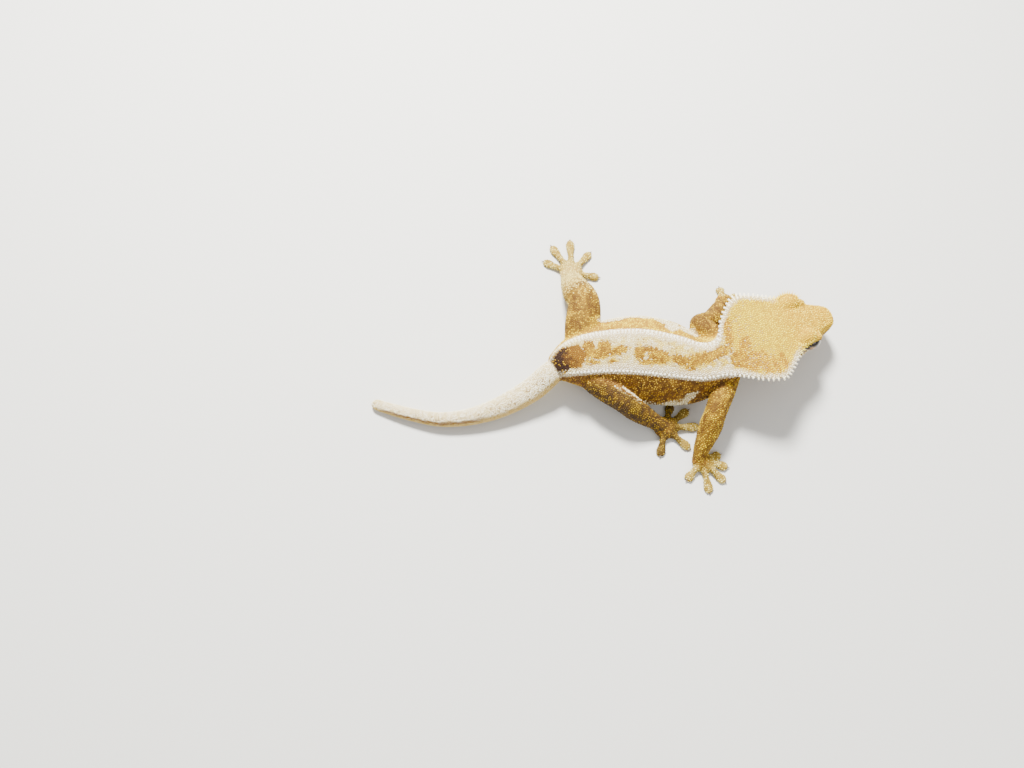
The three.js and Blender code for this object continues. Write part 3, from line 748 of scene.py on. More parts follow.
# Markings: cream back between white crests with orange brown blotches, brown flanks with a broken
# pale stripe, tan legs, cream toes and tail, and a yellow head that turns pinkish at the snout.
class Wiring:
    """Short ways to add and join shader nodes in one tree."""

    def __init__(self, tree):
        self.tree = tree

    def join(self, value, socket):
        if isinstance(value, bpy.types.NodeSocket):
            self.tree.links.new(value, socket)
        else:
            socket.default_value = value

    def math(self, operation, *values):
        node = self.tree.nodes.new("ShaderNodeMath")
        node.operation = operation
        for value, socket in zip(values, node.inputs):
            self.join(value, socket)
        return node.outputs[0]

    def times(self, first, *others):
        for other in others:
            first = self.math("MULTIPLY", first, other)
        return first

    def wobble(self, value, noise, amount):
        """The value moved up and down by a noise, to fray an edge."""
        return self.math("ADD", value, self.times(self.math("SUBTRACT", noise, 0.5), amount))

    def ramp(self, value, low, high):
        """A smooth step from 0 at low to 1 at high."""
        node = self.tree.nodes.new("ShaderNodeMapRange")
        node.interpolation_type = "SMOOTHSTEP"
        self.join(value, node.inputs["Value"])
        node.inputs["From Min"].default_value = low
        node.inputs["From Max"].default_value = high
        return node.outputs["Result"]

    def mix(self, share, first, second, blend="MIX"):
        node = self.tree.nodes.new("ShaderNodeMix")
        node.data_type = "RGBA"
        node.blend_type = blend
        self.join(share, node.inputs[0])
        self.join(first, node.inputs[6])
        self.join(second, node.inputs[7])
        return node.outputs[2]

    def noise(self, vector, scale, detail=2.0, distortion=0.0):
        node = self.tree.nodes.new("ShaderNodeTexNoise")
        self.join(vector, node.inputs["Vector"])
        node.inputs["Scale"].default_value = scale
        node.inputs["Detail"].default_value = detail
        node.inputs["Distortion"].default_value = distortion
        return node.outputs["Fac"]

    def cells(self, vector, scale):
        node = self.tree.nodes.new("ShaderNodeTexVoronoi")
        self.join(vector, node.inputs["Vector"])
        node.inputs["Scale"].default_value = scale
        return node.outputs["Distance"]

    def attribute(self, name, output="Fac"):
        node = self.tree.nodes.new("ShaderNodeAttribute")
        node.attribute_name = name
        return node.outputs[output]


markings = bpy.data.node_groups.new("gecko markings", "ShaderNodeTree")
markings.interface.new_socket("spot", in_out="INPUT", socket_type="NodeSocketVector")
for name in (*REGION_NAMES, "tint"):
    markings.interface.new_socket(name, in_out="INPUT", socket_type="NodeSocketFloat")
markings.interface.new_socket("Colour", in_out="OUTPUT", socket_type="NodeSocketColor")
given = markings.nodes.new("NodeGroupInput").outputs
result = markings.nodes.new("NodeGroupOutput")
w = Wiring(markings)
moved = markings.nodes.new("ShaderNodeVectorMath")
moved.operation = "SUBTRACT"
moved.inputs[1].default_value = OFFSET
markings.links.new(given["spot"], moved.inputs[0])
scaled = markings.nodes.new("ShaderNodeVectorMath")
scaled.operation = "SCALE"
scaled.inputs["Scale"].default_value = 1 / MM
markings.links.new(moved.outputs[0], scaled.inputs[0])
place = scaled.outputs[0]
run, band, height, leg, reach, tail, side, blotch, saddle, pale = [given[name] for name in REGION_NAMES]
tint = given["tint"]

fine = w.noise(place, 1.1, 2.0)
grain = w.noise(place, 0.5, 3.0)
broad = w.noise(place, 0.17, 3.0, 0.8)
speckle = w.wobble(tint, grain, 1.2)
frayed = w.math("ADD", w.math("SUBTRACT", fine, 0.5), w.times(w.math("SUBTRACT", tint, 0.5), 0.4))
pale_share = w.ramp(w.math("ADD", pale, w.times(frayed, 1.4)), 0.0, 0.4)

# Flanks: brown with yellow granules, paler on the left, with a broken white stripe, and painted light and
# shade across the two sides
dark_flank_with_painted_shade = w.mix(w.ramp(speckle, 0.2, 1.0), colour("684E30"), colour("CBAC70"))
pale_flank_with_painted_light = w.mix(w.ramp(speckle, 0.15, 0.85), colour("BE9C4A"), colour("EBD67C"))
# The pale left flank is partly its own colour and partly painted light; the dark right flank is partly
# painted shade.
flank = w.mix(w.ramp(side, -0.6, 0.6), dark_flank_with_painted_shade, pale_flank_with_painted_light)
flank = w.mix(w.times(w.ramp(broad, 0.5, 0.62), 0.4), flank, colour("8C6430"))
flank = w.mix(w.times(pale_share, w.ramp(height, -0.36, -0.2)), flank, colour("FAF5DC"))
flank = w.mix(w.ramp(height, -0.5, -0.85), flank, colour("E6D6A8"))

# Back: cream with orange brown blotches and a dark saddle over the hips
back = w.mix(w.ramp(grain, 0.35, 0.7), colour("FDFBE6"), colour("F6EDB4"))
back = w.mix(w.times(w.ramp(run, 26.0, 62.0), w.ramp(grain, 0.4, 0.6), 0.8), back, colour("EFDD80"))
back = w.mix(w.times(w.ramp(tint, 0.13, 0.07), 0.75), back, colour("8A6A34"))
rust = w.mix(w.ramp(speckle, 0.1, 0.95), colour("8C641A"), colour("E0C45E"))
blotch_share = w.ramp(w.math("ADD", blotch, w.times(frayed, 3.0)), 0.0, 0.4)
back = w.mix(blotch_share, back, rust)
umber = w.mix(w.ramp(w.wobble(run, grain, 12.0), 3.0, 8.5), colour("341C08"), colour("94702F"))
umber = w.mix(w.ramp(tint, 0.7, 1.0), umber, colour("C8A458"))
back = w.mix(w.ramp(w.math("ADD", saddle, w.times(frayed, 2.6)), 0.0, 0.4), back, umber)

# Head: yellow towards the nape, pinkish tan at the snout, orange mottling most on the right
crown = w.mix(w.ramp(run, 80.0, 98.0), colour("F6E05A"), colour("F4D470"))
crown = w.mix(w.times(w.ramp(speckle, 0.45, 0.9), 0.5), crown, colour("FFF3A2"))
crown = w.mix(w.times(w.ramp(tint, 0.12, 0.06), 0.5), crown, colour("A57C34"))
mottle = w.ramp(w.wobble(w.noise(place, 0.26, 3.0, 0.6), frayed, 0.25), 0.5, 0.6)
mottle = w.times(mottle, w.ramp(run, 94.0, 84.0), w.math("SUBTRACT", 0.65, w.times(side, 0.3)))
crown = w.mix(mottle, crown, colour("D9A73E"))
ochre = w.mix(w.ramp(speckle, 0.1, 0.95), colour("AE8022"), colour("EECE5E"))
crown = w.mix(w.times(blotch_share, 0.9), crown, ochre)
back = w.mix(w.ramp(run, 64.0, 70.0), back, crown)
cheek = w.mix(w.ramp(speckle, 0.3, 0.8), colour("A67E42"), colour("DFC280"))
flank = w.mix(w.ramp(run, 70.0, 80.0), flank, cheek)
from_lip = w.math("ABSOLUTE", w.math("SUBTRACT", height, 0.08))
lip_line = w.times(w.ramp(run, 82.0, 88.0), w.ramp(from_lip, 0.13, 0.06))
flank = w.mix(lip_line, flank, colour("FBF1DA"))

# Crests: white, fading in a ragged line behind them
trunk = w.mix(w.ramp(band, -0.9, -0.1), flank, back)
ragged = w.math("ADD", band, w.math("ADD", w.times(frayed, 3.2), w.times(w.ramp(run, 15.0, 4.0), 2.0)))
border = w.mix(w.ramp(run, 64.0, 74.0), colour("FFFBEE"), colour("FFF9E4"))
crest_share = w.times(w.ramp(band, -1.3, -0.5), w.ramp(ragged, 3.2, 1.2), w.ramp(run, 93.0, 87.0))
trunk = w.mix(crest_share, trunk, border)
trunk = w.mix(w.times(w.ramp(run, 88.0, 94.0), w.ramp(band, -4.0, -1.0)), trunk, crown)

# Legs with brown patches, a pale left shin, toes that fade to cream, and painted shade on the right hind leg
apart = markings.nodes.new("ShaderNodeSeparateXYZ")
markings.links.new(place, apart.inputs[0])
place_x, place_y, _ = apart.outputs
leg_colour = w.mix(w.ramp(speckle, 0.2, 0.95), colour("7E6430"), colour("D0B462"))
leg_colour = w.mix(w.times(w.ramp(broad, 0.5, 0.58), 0.65), leg_colour, colour("66481E"))
leg_colour = w.mix(w.times(pale_share, 0.8), leg_colour, colour("DCC468"))
left_hind = w.times(w.ramp(place_y, 18.0, 24.0), w.ramp(place_x, -10.0, -14.0))
shin = w.times(w.ramp(w.wobble(reach, speckle, 0.3), 0.42, 0.74), left_hind)
leg_colour = w.mix(w.times(shin, 0.75), leg_colour, colour("F0E6B0"))
toe_colour = w.mix(w.ramp(speckle, 0.3, 0.8), colour("B6A468"), colour("E4D9A0"))
leg_colour = w.mix(w.ramp(reach, 0.9, 1.35), leg_colour, toe_colour)
# Painted shade: the right hind leg and foot are darkened to dark brown as though lying in shadow.
painted_shade = w.times(w.ramp(place_y, -6.0, -12.0), w.ramp(place_x, 17.0, 11.0))
painted_shade_colour = w.mix(w.ramp(speckle, 0.3, 1.0), colour("3E2D12"), colour("8C7034"))
leg_colour = w.mix(w.times(painted_shade, 0.85), leg_colour, painted_shade_colour)
whole = w.mix(leg, trunk, leg_colour)

# Tail: white, with a few brown specks and a brown line along its tan right edge
tail_colour = w.mix(w.ramp(speckle, 0.2, 0.8), colour("EFE6C4"), colour("FFFCEC"))
speck_share = w.times(w.ramp(tint, 0.08, 0.05), w.ramp(side, 0.25, 0.0))
tail_colour = w.mix(w.times(speck_share, 0.9), tail_colour, colour("5E4020"))
edge = w.wobble(side, grain, 0.3)
edge_share = w.times(w.ramp(edge, -0.5, -0.66), w.ramp(place_x, -58.0, -68.0))
tail_colour = w.mix(w.times(w.ramp(edge, -0.66, -0.9), 0.8), tail_colour, colour("D8C084"))
line_share = w.times(edge_share, w.ramp(edge, -0.94, -0.8), w.ramp(place_x, -105.0, -100.0))
tail_colour = w.mix(w.times(line_share, 0.8), tail_colour, colour("6E4C22"))
whole = w.mix(tail, whole, tail_colour)
vivid = markings.nodes.new("ShaderNodeHueSaturation")
vivid.inputs["Saturation"].default_value = 1.3
w.join(whole, vivid.inputs["Color"])
markings.links.new(vivid.outputs["Color"], result.inputs["Colour"])


def marked_material(name, shade, sway, roughness, bump):
    """The markings, dulled by a shade and lit by a sway that differs from scale to scale."""
    material, shader = finish_material(name, (1.0, 1.0, 1.0, 1.0), roughness)
    tree = material.node_tree
    wiring = Wiring(tree)
    group = tree.nodes.new("ShaderNodeGroup")
    group.node_tree = markings
    wiring.join(wiring.attribute("spot", "Vector"), group.inputs["spot"])
    for attribute in (*REGION_NAMES, "tint"):
        wiring.join(wiring.attribute(attribute), group.inputs[attribute])
    dulled = wiring.mix(1.0, group.outputs["Colour"], shade, "MULTIPLY")
    lit = wiring.times(wiring.attribute("tint"), sway)
    wiring.join(wiring.mix(lit, dulled, group.outputs["Colour"]), shader.inputs["Base Color"])
    shader.inputs["Specular IOR Level"].default_value = 0.3
    coordinates = tree.nodes.new("ShaderNodeTexCoord")
    relief = tree.nodes.new("ShaderNodeBump")
    relief.inputs["Strength"].default_value = bump
    relief.inputs["Distance"].default_value = 0.12 * MM
    wiring.join(wiring.cells(coordinates.outputs["Object"], 1.6 / MM), relief.inputs["Height"])
    wiring.join(relief.outputs["Normal"], shader.inputs["Normal"])
    return material


skin_material = marked_material("skin between the scales", (0.48, 0.38, 0.24, 1.0), 0.0, 0.8, 0.5)
scale_material = marked_material("scales", (0.62, 0.56, 0.42, 1.0), 1.0, 0.6, 0.12)
tail_material = marked_material("tail scales", (0.9, 0.87, 0.8, 1.0), 1.0, 0.55, 0.08)
skin.data.materials.clear()
skin.data.materials.append(skin_material)
skin.data.shade_smooth()
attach(skin, "root")
FLESH = [name for name in frame["nodes"] if not name.startswith("eye_")]
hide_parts(*FLESH)


# Planting: a coarse copy of the skin is unwrapped, and every scale or spine set on the skin takes
# the unwrapped place of its root, so that each has its own small patch of the map.
UNWRAP_VOXEL = 1.6 * MM
PATCH_HALF = 0.0015

bed = new_object("bed", skin.data.copy())
apply_modifier(bed, "REMESH", mode="VOXEL", voxel_size=UNWRAP_VOXEL)
bpy.context.view_layer.objects.active = bed
bed.select_set(True)
bpy.ops.object.mode_set(mode="EDIT")
bpy.ops.mesh.select_all(action="SELECT")
bpy.ops.uv.smart_project(angle_limit=math.radians(66), island_margin=0.004)
bpy.ops.object.mode_set(mode="OBJECT")
BED_MAP = bed.data.uv_layers[0].name


class Growth:
    """Short ways to add and join geometry nodes in one tree."""

    def __init__(self, name):
        self.tree = bpy.data.node_groups.new(name, "GeometryNodeTree")
        self.tree.interface.new_socket("Geometry", in_out="INPUT", socket_type="NodeSocketGeometry")
        self.tree.interface.new_socket("Geometry", in_out="OUTPUT", socket_type="NodeSocketGeometry")
        self.start = self.tree.nodes.new("NodeGroupInput").outputs[0]
        self.end = self.tree.nodes.new("NodeGroupOutput").inputs[0]

    def add(self, kind, settings=(), **values):
        node = self.tree.nodes.new(kind)
        for key, value in settings:
            setattr(node, key, value)
        for key, value in values.items():
            self.join(value, node.inputs[key.replace("_", " ")])
        return node

    def join(self, value, socket):
        if isinstance(value, bpy.types.NodeSocket):
            self.tree.links.new(value, socket)
        else:
            socket.default_value = value

    def named(self, name, kind):
        return self.add("GeometryNodeInputNamedAttribute", [("data_type", kind)], Name=name).outputs[0]

    def store(self, geometry, name, kind, value, domain="POINT"):
        settings = [("data_type", kind), ("domain", domain)]
        values = {"Geometry": geometry, "Name": name, "Value": value}
        return self.add("GeometryNodeStoreNamedAttribute", settings, **values).outputs[0]


def grown(piece, growth):
    """Runs the tree on the piece and keeps what it makes."""
    apply_modifier(piece, "NODES", node_group=growth.tree)
    bpy.data.node_groups.remove(growth.tree)


def scatter(name, zone, spacing, width, height, seed):
    """Roots for scales all over one zone of the skin, no two closer than the spacing."""
    roots = new_object(name, skin.data.copy())
    g = Growth(name)
    in_zone = g.add("FunctionNodeCompare", [("data_type", "FLOAT"), ("operation", "EQUAL")])
    g.join(g.named("zone", "FLOAT"), in_zone.inputs[0])
    in_zone.inputs[1].default_value = float(zone)
    in_zone.inputs["Epsilon"].default_value = 0.45
    spread = g.add("GeometryNodeDistributePointsOnFaces", [("distribute_method", "POISSON")], Mesh=g.start)
    g.join(in_zone.outputs[0], spread.inputs["Selection"])
    spread.inputs["Distance Min"].default_value = spacing * MM
    spread.inputs["Density Max"].default_value = 9.0 / (spacing * MM) ** 2
    spread.inputs["Seed"].default_value = seed
    chance = g.add("FunctionNodeRandomValue", [("data_type", "FLOAT")], Seed=seed)
    vary = g.add("FunctionNodeRandomValue", [("data_type", "FLOAT")], Min=0.86, Max=1.12, Seed=seed + 50)
    size = g.add("ShaderNodeVectorMath", [("operation", "SCALE")])
    size.inputs[0].default_value = (width * MM, width * MM, height * MM)
    g.join(vary.outputs[1], size.inputs["Scale"])
    points = g.store(spread.outputs["Points"], "aim", "FLOAT_VECTOR", spread.outputs["Normal"])
    points = g.store(points, "size", "FLOAT_VECTOR", size.outputs[0])
    points = g.store(points, "tint", "FLOAT", chance.outputs[1])
    verts = g.add("GeometryNodePointsToVertices", Points=points)
    g.join(verts.outputs[0], g.end)
    grown(roots, g)
    return roots


def plant(roots, item, material):
    """Sets a copy of the item on every root, along its aim and at its size, as one mesh."""
    g = Growth(roots.name)
    where = g.add("GeometryNodeInputPosition").outputs[0]
    target = g.add("GeometryNodeObjectInfo", Object=bed)
    sample = g.add("GeometryNodeSampleNearestSurface", [("data_type", "FLOAT_VECTOR")])
    g.join(target.outputs["Geometry"], sample.inputs["Mesh"])
    g.join(g.named(BED_MAP, "FLOAT_VECTOR"), sample.inputs["Value"])
    g.join(where, sample.inputs["Sample Position"])
    points = g.store(g.start, "root_map", "FLOAT_VECTOR", sample.outputs[0])
    points = g.store(points, "spot", "FLOAT_VECTOR", where)
    lie = g.add("FunctionNodeAlignRotationToVector", [("axis", "X")], Vector=g.named("lie", "FLOAT_VECTOR"))
    stand = g.add("FunctionNodeAlignRotationToVector", [("axis", "Z")], Vector=g.named("aim", "FLOAT_VECTOR"))
    g.join(lie.outputs[0], stand.inputs["Rotation"])
    shape = g.add("GeometryNodeObjectInfo", Object=item)
    bare_points = g.add("GeometryNodeMeshToPoints", Mesh=points).outputs[0]
    copies = g.add("GeometryNodeInstanceOnPoints", Points=bare_points)
    g.join(shape.outputs["Geometry"], copies.inputs["Instance"])
    g.join(stand.outputs[0], copies.inputs["Rotation"])
    g.join(g.named("size", "FLOAT_VECTOR"), copies.inputs["Scale"])
    solid = g.add("GeometryNodeRealizeInstances", Geometry=copies.outputs[0]).outputs[0]
    offset = g.add("ShaderNodeVectorMath", [("operation", "SCALE")], Scale=PATCH_HALF)
    g.join(g.named("patch", "FLOAT_VECTOR"), offset.inputs[0])
    total = g.add("ShaderNodeVectorMath", [("operation", "ADD")])
    g.join(g.named("root_map", "FLOAT_VECTOR"), total.inputs[0])
    g.join(offset.outputs[0], total.inputs[1])
    g.join(g.store(solid, "OFBake", "FLOAT2", total.outputs[0], "CORNER"), g.end)
    grown(roots, g)
    for name in ("root_map", "patch", "aim", "lie", "size", "zone"):
        if name in roots.data.attributes:
            roots.data.attributes.remove(roots.data.attributes[name])
    roots.data.materials.clear()
    roots.data.materials.append(material)
    roots.data.uv_layers.active = roots.data.uv_layers["OFBake"]
    roots.data.uv_layers["OFBake"].active_render = True
    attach(roots, "root")
    return roots


def item_object(name, bm):
    """An item to plant: about one unit across and one high, with its patch of the map."""
    bmesh.ops.recalc_face_normals(bm, faces=bm.faces)
    for face in bm.faces:
        face.smooth = True
    mesh = bpy.data.meshes.new(name)
    bm.to_mesh(mesh)
    bm.free()
    item = new_object(name, mesh)
    store_column(item, "patch", "FLOAT_VECTOR", [c for v in mesh.vertices for c in (v.co.x, v.co.y, 0.0)])
    return item


# Scales: tens of thousands of low granules of light keratin over darker skin, each a closed dome.
# They are finest on the back and head, and broader and flatter on the flanks, belly and legs.
scale_bm = bmesh.new()
bmesh.ops.create_cone(scale_bm, cap_ends=True, segments=6, radius1=1.0, radius2=0.66, depth=0.9)
lid = max(scale_bm.faces, key=lambda face: face.calc_center_median().z)
poked = bmesh.ops.poke(scale_bm, faces=[lid])
bmesh.ops.translate(scale_bm, verts=poked["verts"], vec=(0.0, 0.0, 0.35))
scale_item = item_object("scale_item", scale_bm)

COATS = (
    ("head_scales", HEAD, 0.66, 0.35, 0.34, 11, "head_skin"),
    ("back_scales", BACK, 0.62, 0.33, 0.32, 12, "back_skin"),
    ("flank_scales", FLANK, 0.72, 0.38, 0.3, 13, "back_skin"),
    ("limb_scales", LIMB, 0.68, 0.36, 0.3, 14, "limb_skin"),
    ("tail_scales", TAIL_ZONE, 0.5, 0.3, 0.17, 15, "tail_skin"),
)
for name, zone, spacing, width, height, seed, slot in COATS:
    look = tail_material if zone == TAIL_ZONE else scale_material
    coat = plant(scatter(name, zone, spacing, width, height, seed), scale_item, look)


# Spines: soft white cones of skin along both crests and round the brows, longest at the back of the
# head, with rows of shorter cones inside them.
SPINE_SIDES = 8
SPINE_PROFILE = ((-0.25, 1.1), (0.1, 1.0), (0.35, 0.62), (0.7, 0.3), (1.0, 0.04))
SPINE_BEND = 0.5
SPINE_ROWS = (
    (0.6, 0.7, 0.36, 1.3), (3.0, 1.4, 0.42, 1.4), (7.0, 1.6, 0.42, 1.5), (8.6, 2.3, 0.36, 1.7),
    (10.5, 3.0, 0.33, 1.8), (14.4, 2.7, 0.31, 1.6), (15.4, 1.8, 0.27, 1.3), (16.2, 1.2, 0.24, 1.2),
)
CREST_START = 0.6
CREST_END = 16.2
CREST_STEP = 0.01
CREST_SLOPE = 0.22  # how fast an inner row climbs towards the spine of the back
SPINE_LIFT = {"outer": 0.15, "inner": 0.9}
SPINE_SWEEP = 0.12
SPINE_JITTER = 0.1
INNER_CROWDING = 0.85


def spine_length(place):
    """Length, half width and pitch of the crest's spines at a place along the body."""
    following = next((k for k, row in enumerate(SPINE_ROWS) if row[0] >= place), len(SPINE_ROWS) - 1)
    near, far = SPINE_ROWS[max(following - 1, 0)], SPINE_ROWS[following]
    share = 0.0 if near is far else (place - near[0]) / (far[0] - near[0])
    return [lerp(a, b, min(max(share, 0.0), 1.0)) for a, b in zip(near[1:], far[1:])]


def on_crest(place, side, inset):
    """A point on the crest's edge, or inset from it towards the middle of the back."""
    station = station_at(place)
    return placed(station, side * (station["crest"] - inset), station["crest_z"] + inset * CREST_SLOPE)


def crest_roots(inset, size_share, seed):
    """Roots of one row on both crests: place, aim, and size of each spine."""
    chance = random.Random(seed)
    row = "outer" if inset == 0.0 else "inner"
    crowding = 1.0 if row == "outer" else INNER_CROWDING
    found = []
    for side in (1, -1):
        place = CREST_START
        last = None
        due = 0.0
        while place < CREST_END:
            here = on_crest(place, side, inset)
            if last is not None:
                due -= (here - last).length
            last = here
            if due <= 0.0:
                length, width, pitch = spine_length(place)
                due += pitch * chance.uniform(0.86, 1.14) * crowding
                onward = on_crest(min(place + 0.1, LAST_ROW), side, inset) - here
                out = onward.cross(Vector((0.0, 0.0, side))).normalized()
                lift = Vector((0.0, 0.0, SPINE_LIFT[row]))
                aim = (out + lift - onward.normalized() * SPINE_SWEEP).normalized()
                aim += Vector([chance.uniform(-SPINE_JITTER, SPINE_JITTER) for _ in range(3)])
                share = size_share * chance.uniform(0.85, 1.15)
                found.append((here, aim.normalized(), (width * (0.5 + size_share / 2), length * share)))
            place += CREST_STEP
    return found


BROW_WORN = {1: 1.0, -1: 0.5}  # the fringe is worn short on the right
BROW_SPINE_WIDTH = 0.3


def brow_roots(count, rise, length, seed):
    """A fringe of fine spines along the outer edge of each brow."""
    chance = random.Random(seed)
    found = []
    for side, worn in BROW_WORN.items():
        for i in range(count):
            angle = math.radians(lerp(5.0, 175.0, i / (count - 1)))
            x = BROW["x"] + math.cos(angle) * BROW["length"] * 0.82
            y = side * (BROW["y"] + math.sin(angle) * BROW["width"] * 0.9) + BROW["lean"]
            z = BROW["z"] + BROW["height"] * rise
            here = in_head(x, y, z)
            out = in_head(x + math.cos(angle) * 0.7, y + side * math.sin(angle), z + 0.45) - here
            aim = out.normalized() + Vector([chance.uniform(-0.12, 0.12) for _ in range(3)])
            tall = length * worn * chance.uniform(0.8, 1.15)
            found.append((here, aim.normalized(), (BROW_SPINE_WIDTH, tall)))
    return found


def root_object(name, roots, tint=0.9):
    """A mesh of loose root points that carry aim, size and the markings' regions."""
    bm = bmesh.new()
    for here, *_ in roots:
        bm.verts.new(world(here))
    mesh = bpy.data.meshes.new(name)
    bm.to_mesh(mesh)
    bm.free()
    piece = new_object(name, mesh)
    store_regions(piece)
    store_column(piece, "aim", "FLOAT_VECTOR", [c for _, aim, *_ in roots for c in aim])
    sizes = [c * MM for _, _, size, *_ in roots for c in (size[0], size[0], size[-1])]
    store_column(piece, "size", "FLOAT_VECTOR", sizes)
    store_column(piece, "tint", "FLOAT", [tint] * len(roots))
    return piece


spine_bm = bmesh.new()
spine_rings = []
for rise, radius in SPINE_PROFILE:
    lean = SPINE_BEND * max(rise, 0.0) ** 2
    turns = [k / SPINE_SIDES * math.tau for k in range(SPINE_SIDES)]
    spine_rings.append([Vector((math.cos(t) * radius + lean, math.sin(t) * radius, rise)) for t in turns])
loft(spine_bm, spine_rings)
spine_item = item_object("spine_item", spine_bm)
spine_roots = crest_roots(inset=0.0, size_share=1.0, seed=31)
spine_roots += crest_roots(inset=0.9, size_share=0.4, seed=32)
spine_roots += brow_roots(count=15, rise=0.2, length=2.1, seed=34)
spine_roots += brow_roots(count=13, rise=0.6, length=1.0, seed=35)
spines = plant(root_object("crest_spines", spine_roots), spine_item, scale_material)


# Eyes: lidless wet globes, cast in clear resin over a painted iris and pressed into their sockets.
# Each has a ragged upright slit in a gold brown iris that darkens towards the edge, with painted shade from
# the brow darkening its top.
EYE_GAZE = {1: (0.12, 0.97, 0.14), -1: (0.12, -0.97, 0.14)}


def eye_material():
    material, shader = finish_material("eye", colour("15100B"), 0.12)
    wiring = Wiring(material.node_tree)
    apart = material.node_tree.nodes.new("ShaderNodeSeparateXYZ")
    wiring.join(wiring.attribute("gaze", "Vector"), apart.inputs[0])
    along, up, out = apart.outputs
    rough = wiring.noise(wiring.attribute("gaze", "Vector"), 9.0, 4.0, 1.2)
    veins = wiring.noise(wiring.attribute("gaze", "Vector"), 22.0, 5.0, 2.0)
    gold = wiring.mix(wiring.ramp(veins, 0.4, 0.62), colour("5B3A1C"), colour("B98A4C"))
    gold = wiring.mix(wiring.ramp(out, 0.8, 0.66), gold, colour("1B120B"))
    # Painted shade from the brow: the top of the iris is darkened.
    gold = wiring.mix(wiring.ramp(up, 0.24, 0.5), gold, colour("1B120B"))
    slit = wiring.math("ADD", wiring.times(wiring.math("ABSOLUTE", along), 3.0), wiring.math("ABSOLUTE", up))
    whole_eye = wiring.mix(wiring.ramp(wiring.wobble(slit, rough, 0.35), 0.7, 0.64), gold, colour("050404"))
    wiring.join(whole_eye, shader.inputs["Base Color"])
    shader.inputs["Coat Weight"].default_value = 1.0
    shader.inputs["Coat IOR"].default_value = 1.3
    shader.inputs["Specular IOR Level"].default_value = 0.2
    shader.inputs["Coat Roughness"].default_value = 0.03
    return material


eye_look = eye_material()
for name, side in (("eye_left", 1), ("eye_right", -1)):
    bm = bmesh.new()
    bmesh.ops.create_icosphere(bm, subdivisions=5, radius=EYE["radius"] * MM)
    for face in bm.faces:
        face.smooth = True
    mesh = bpy.data.meshes.new(name + "_globe")
    bm.to_mesh(mesh)
    bm.free()
    globe = new_object(name + "_globe", mesh)
    head_turn = in_head(0.0, 0.0, 0.0)
    gaze = Vector(EYE_GAZE[side]).normalized()
    outward = (in_head(*gaze) - head_turn).normalized()
    upward = (Vector((0.0, 0.0, 1.0)) - outward * outward.z).normalized()
    forward = upward.cross(outward)
    columns = []
    for vert in mesh.vertices:
        direction = vert.co.normalized()
        columns += [direction.dot(forward), direction.dot(upward), direction.dot(outward)]
        vert.co += world(in_head(EYE["x"], side * EYE["y"], EYE["z"]))
    store_column(globe, "gaze", "FLOAT_VECTOR", columns)
    globe.data.materials.append(eye_look)
    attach(globe, "root")
    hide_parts(name)


# Eye rims and lips: two rings of bead-like scales round each eye, and a row of larger plates along
# each lip. They are the same keratin as the other scales and are set into the skin one by one.
BEAD_FLATNESS = 0.8
LIP_PLATES = ((0.62, 0.5), (-0.62, 0.46))  # height off the lip line, plate size
PLATE_PROUD = 0.05
RIM_BEADS = 38
RIM_RINGS = ((3.7, 1.45, 0.26), (4.15, 0.95, 0.33))  # ring radius, height off the eye's middle, bead size


def rim_roots():
    found = []
    for side in (1, -1):
        for ring, off, half in RIM_RINGS:
            for i in range(RIM_BEADS):
                angle = i / RIM_BEADS * math.tau
                x = EYE["x"] + math.cos(angle) * ring
                y = side * (EYE["y"] + off)
                z = EYE["z"] - RIM_DROP + math.sin(angle) * ring
                here = in_head(x, y, z)
                aim = (in_head(x + math.cos(angle), y + side, z + math.sin(angle)) - here).normalized()
                found.append((here, aim, (half, half * BEAD_FLATNESS)))
    return found


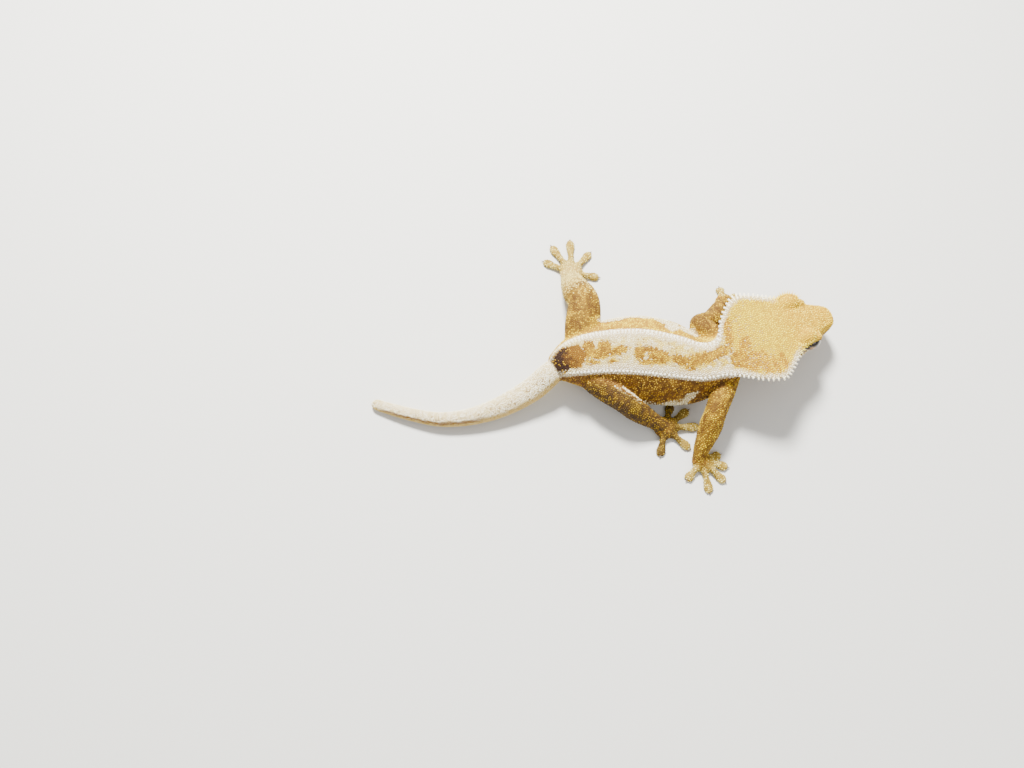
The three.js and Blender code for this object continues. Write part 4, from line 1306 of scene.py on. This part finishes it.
def lip_roots():
    path = lip_path()
    found = []
    for i, point in enumerate(path):
        out = lip_outward(path, i)
        for rise, half in LIP_PLATES:
            p = point + out * PLATE_PROUD
            here = in_head(p.x, p.y, p.z + rise)
            aim = (in_head(p.x + out.x, p.y + out.y, p.z + rise) - here).normalized()
            found.append((here, aim, (half, half * BEAD_FLATNESS)))
    return found


bead_bm = bmesh.new()
bmesh.ops.create_icosphere(bead_bm, subdivisions=2, radius=1.0)
bead_item = item_object("bead_item", bead_bm)
beads = plant(root_object("lip_and_rim_plates", lip_roots() + rim_roots(), 0.6), bead_item, scale_material)


# Claws: small curved cones of dark horn, one at the tip of each toe, set into the pad's front edge
# so that they point ahead and bend down to the ground.
CLAW_HALF_WIDTH = 0.3
CLAW_LENGTH = 1.4
CLAW_HEIGHT = 0.85
CLAW_SINK = 0.5
CLAW_BEND = 1.6
CLAW_PROFILE = ((-0.3, 1.0), (0.1, 1.0), (0.5, 0.75), (0.8, 0.42), (1.0, 0.06))

claw_material, _ = finish_material("claw", colour("6E5A42"), 0.35)


def claw_roots():
    found = []
    for palm, _, toes in PAWS.values():
        for tip in toes:
            away = Vector((tip[0] - palm[0], tip[1] - palm[1], 0.0)).normalized()
            root = Vector((tip[0], tip[1], CLAW_HEIGHT)) - away * CLAW_SINK
            found.append((root, away, (CLAW_HALF_WIDTH, CLAW_LENGTH)))
    return found


claw_bm = bmesh.new()
claw_rings = []
for rise, radius in CLAW_PROFILE:
    turns = [k / SPINE_SIDES * math.tau for k in range(SPINE_SIDES)]
    drop = -CLAW_BEND * max(rise, 0.0) ** 2
    claw_rings.append([Vector((math.cos(t) * radius + drop, math.sin(t) * radius, rise)) for t in turns])
loft(claw_bm, claw_rings)
claw_item = item_object("claw_item", claw_bm)
claw_root_piece = root_object("claws", claw_roots())
store_column(claw_root_piece, "lie", "FLOAT_VECTOR", [0.0, 0.0, 1.0] * len(claw_root_piece.data.vertices))
plant(claw_root_piece, claw_item, claw_material)


# Last: the items that were copied and the unwrapped bed are taken away.
for item in (bed, scale_item, spine_item, bead_item, claw_item):
    bpy.data.objects.remove(item)
skin.data.attributes.remove(skin.data.attributes["zone"])
for other in [o for o in bpy.data.objects if o.type == "MESH"]:
    other.select_set(False)
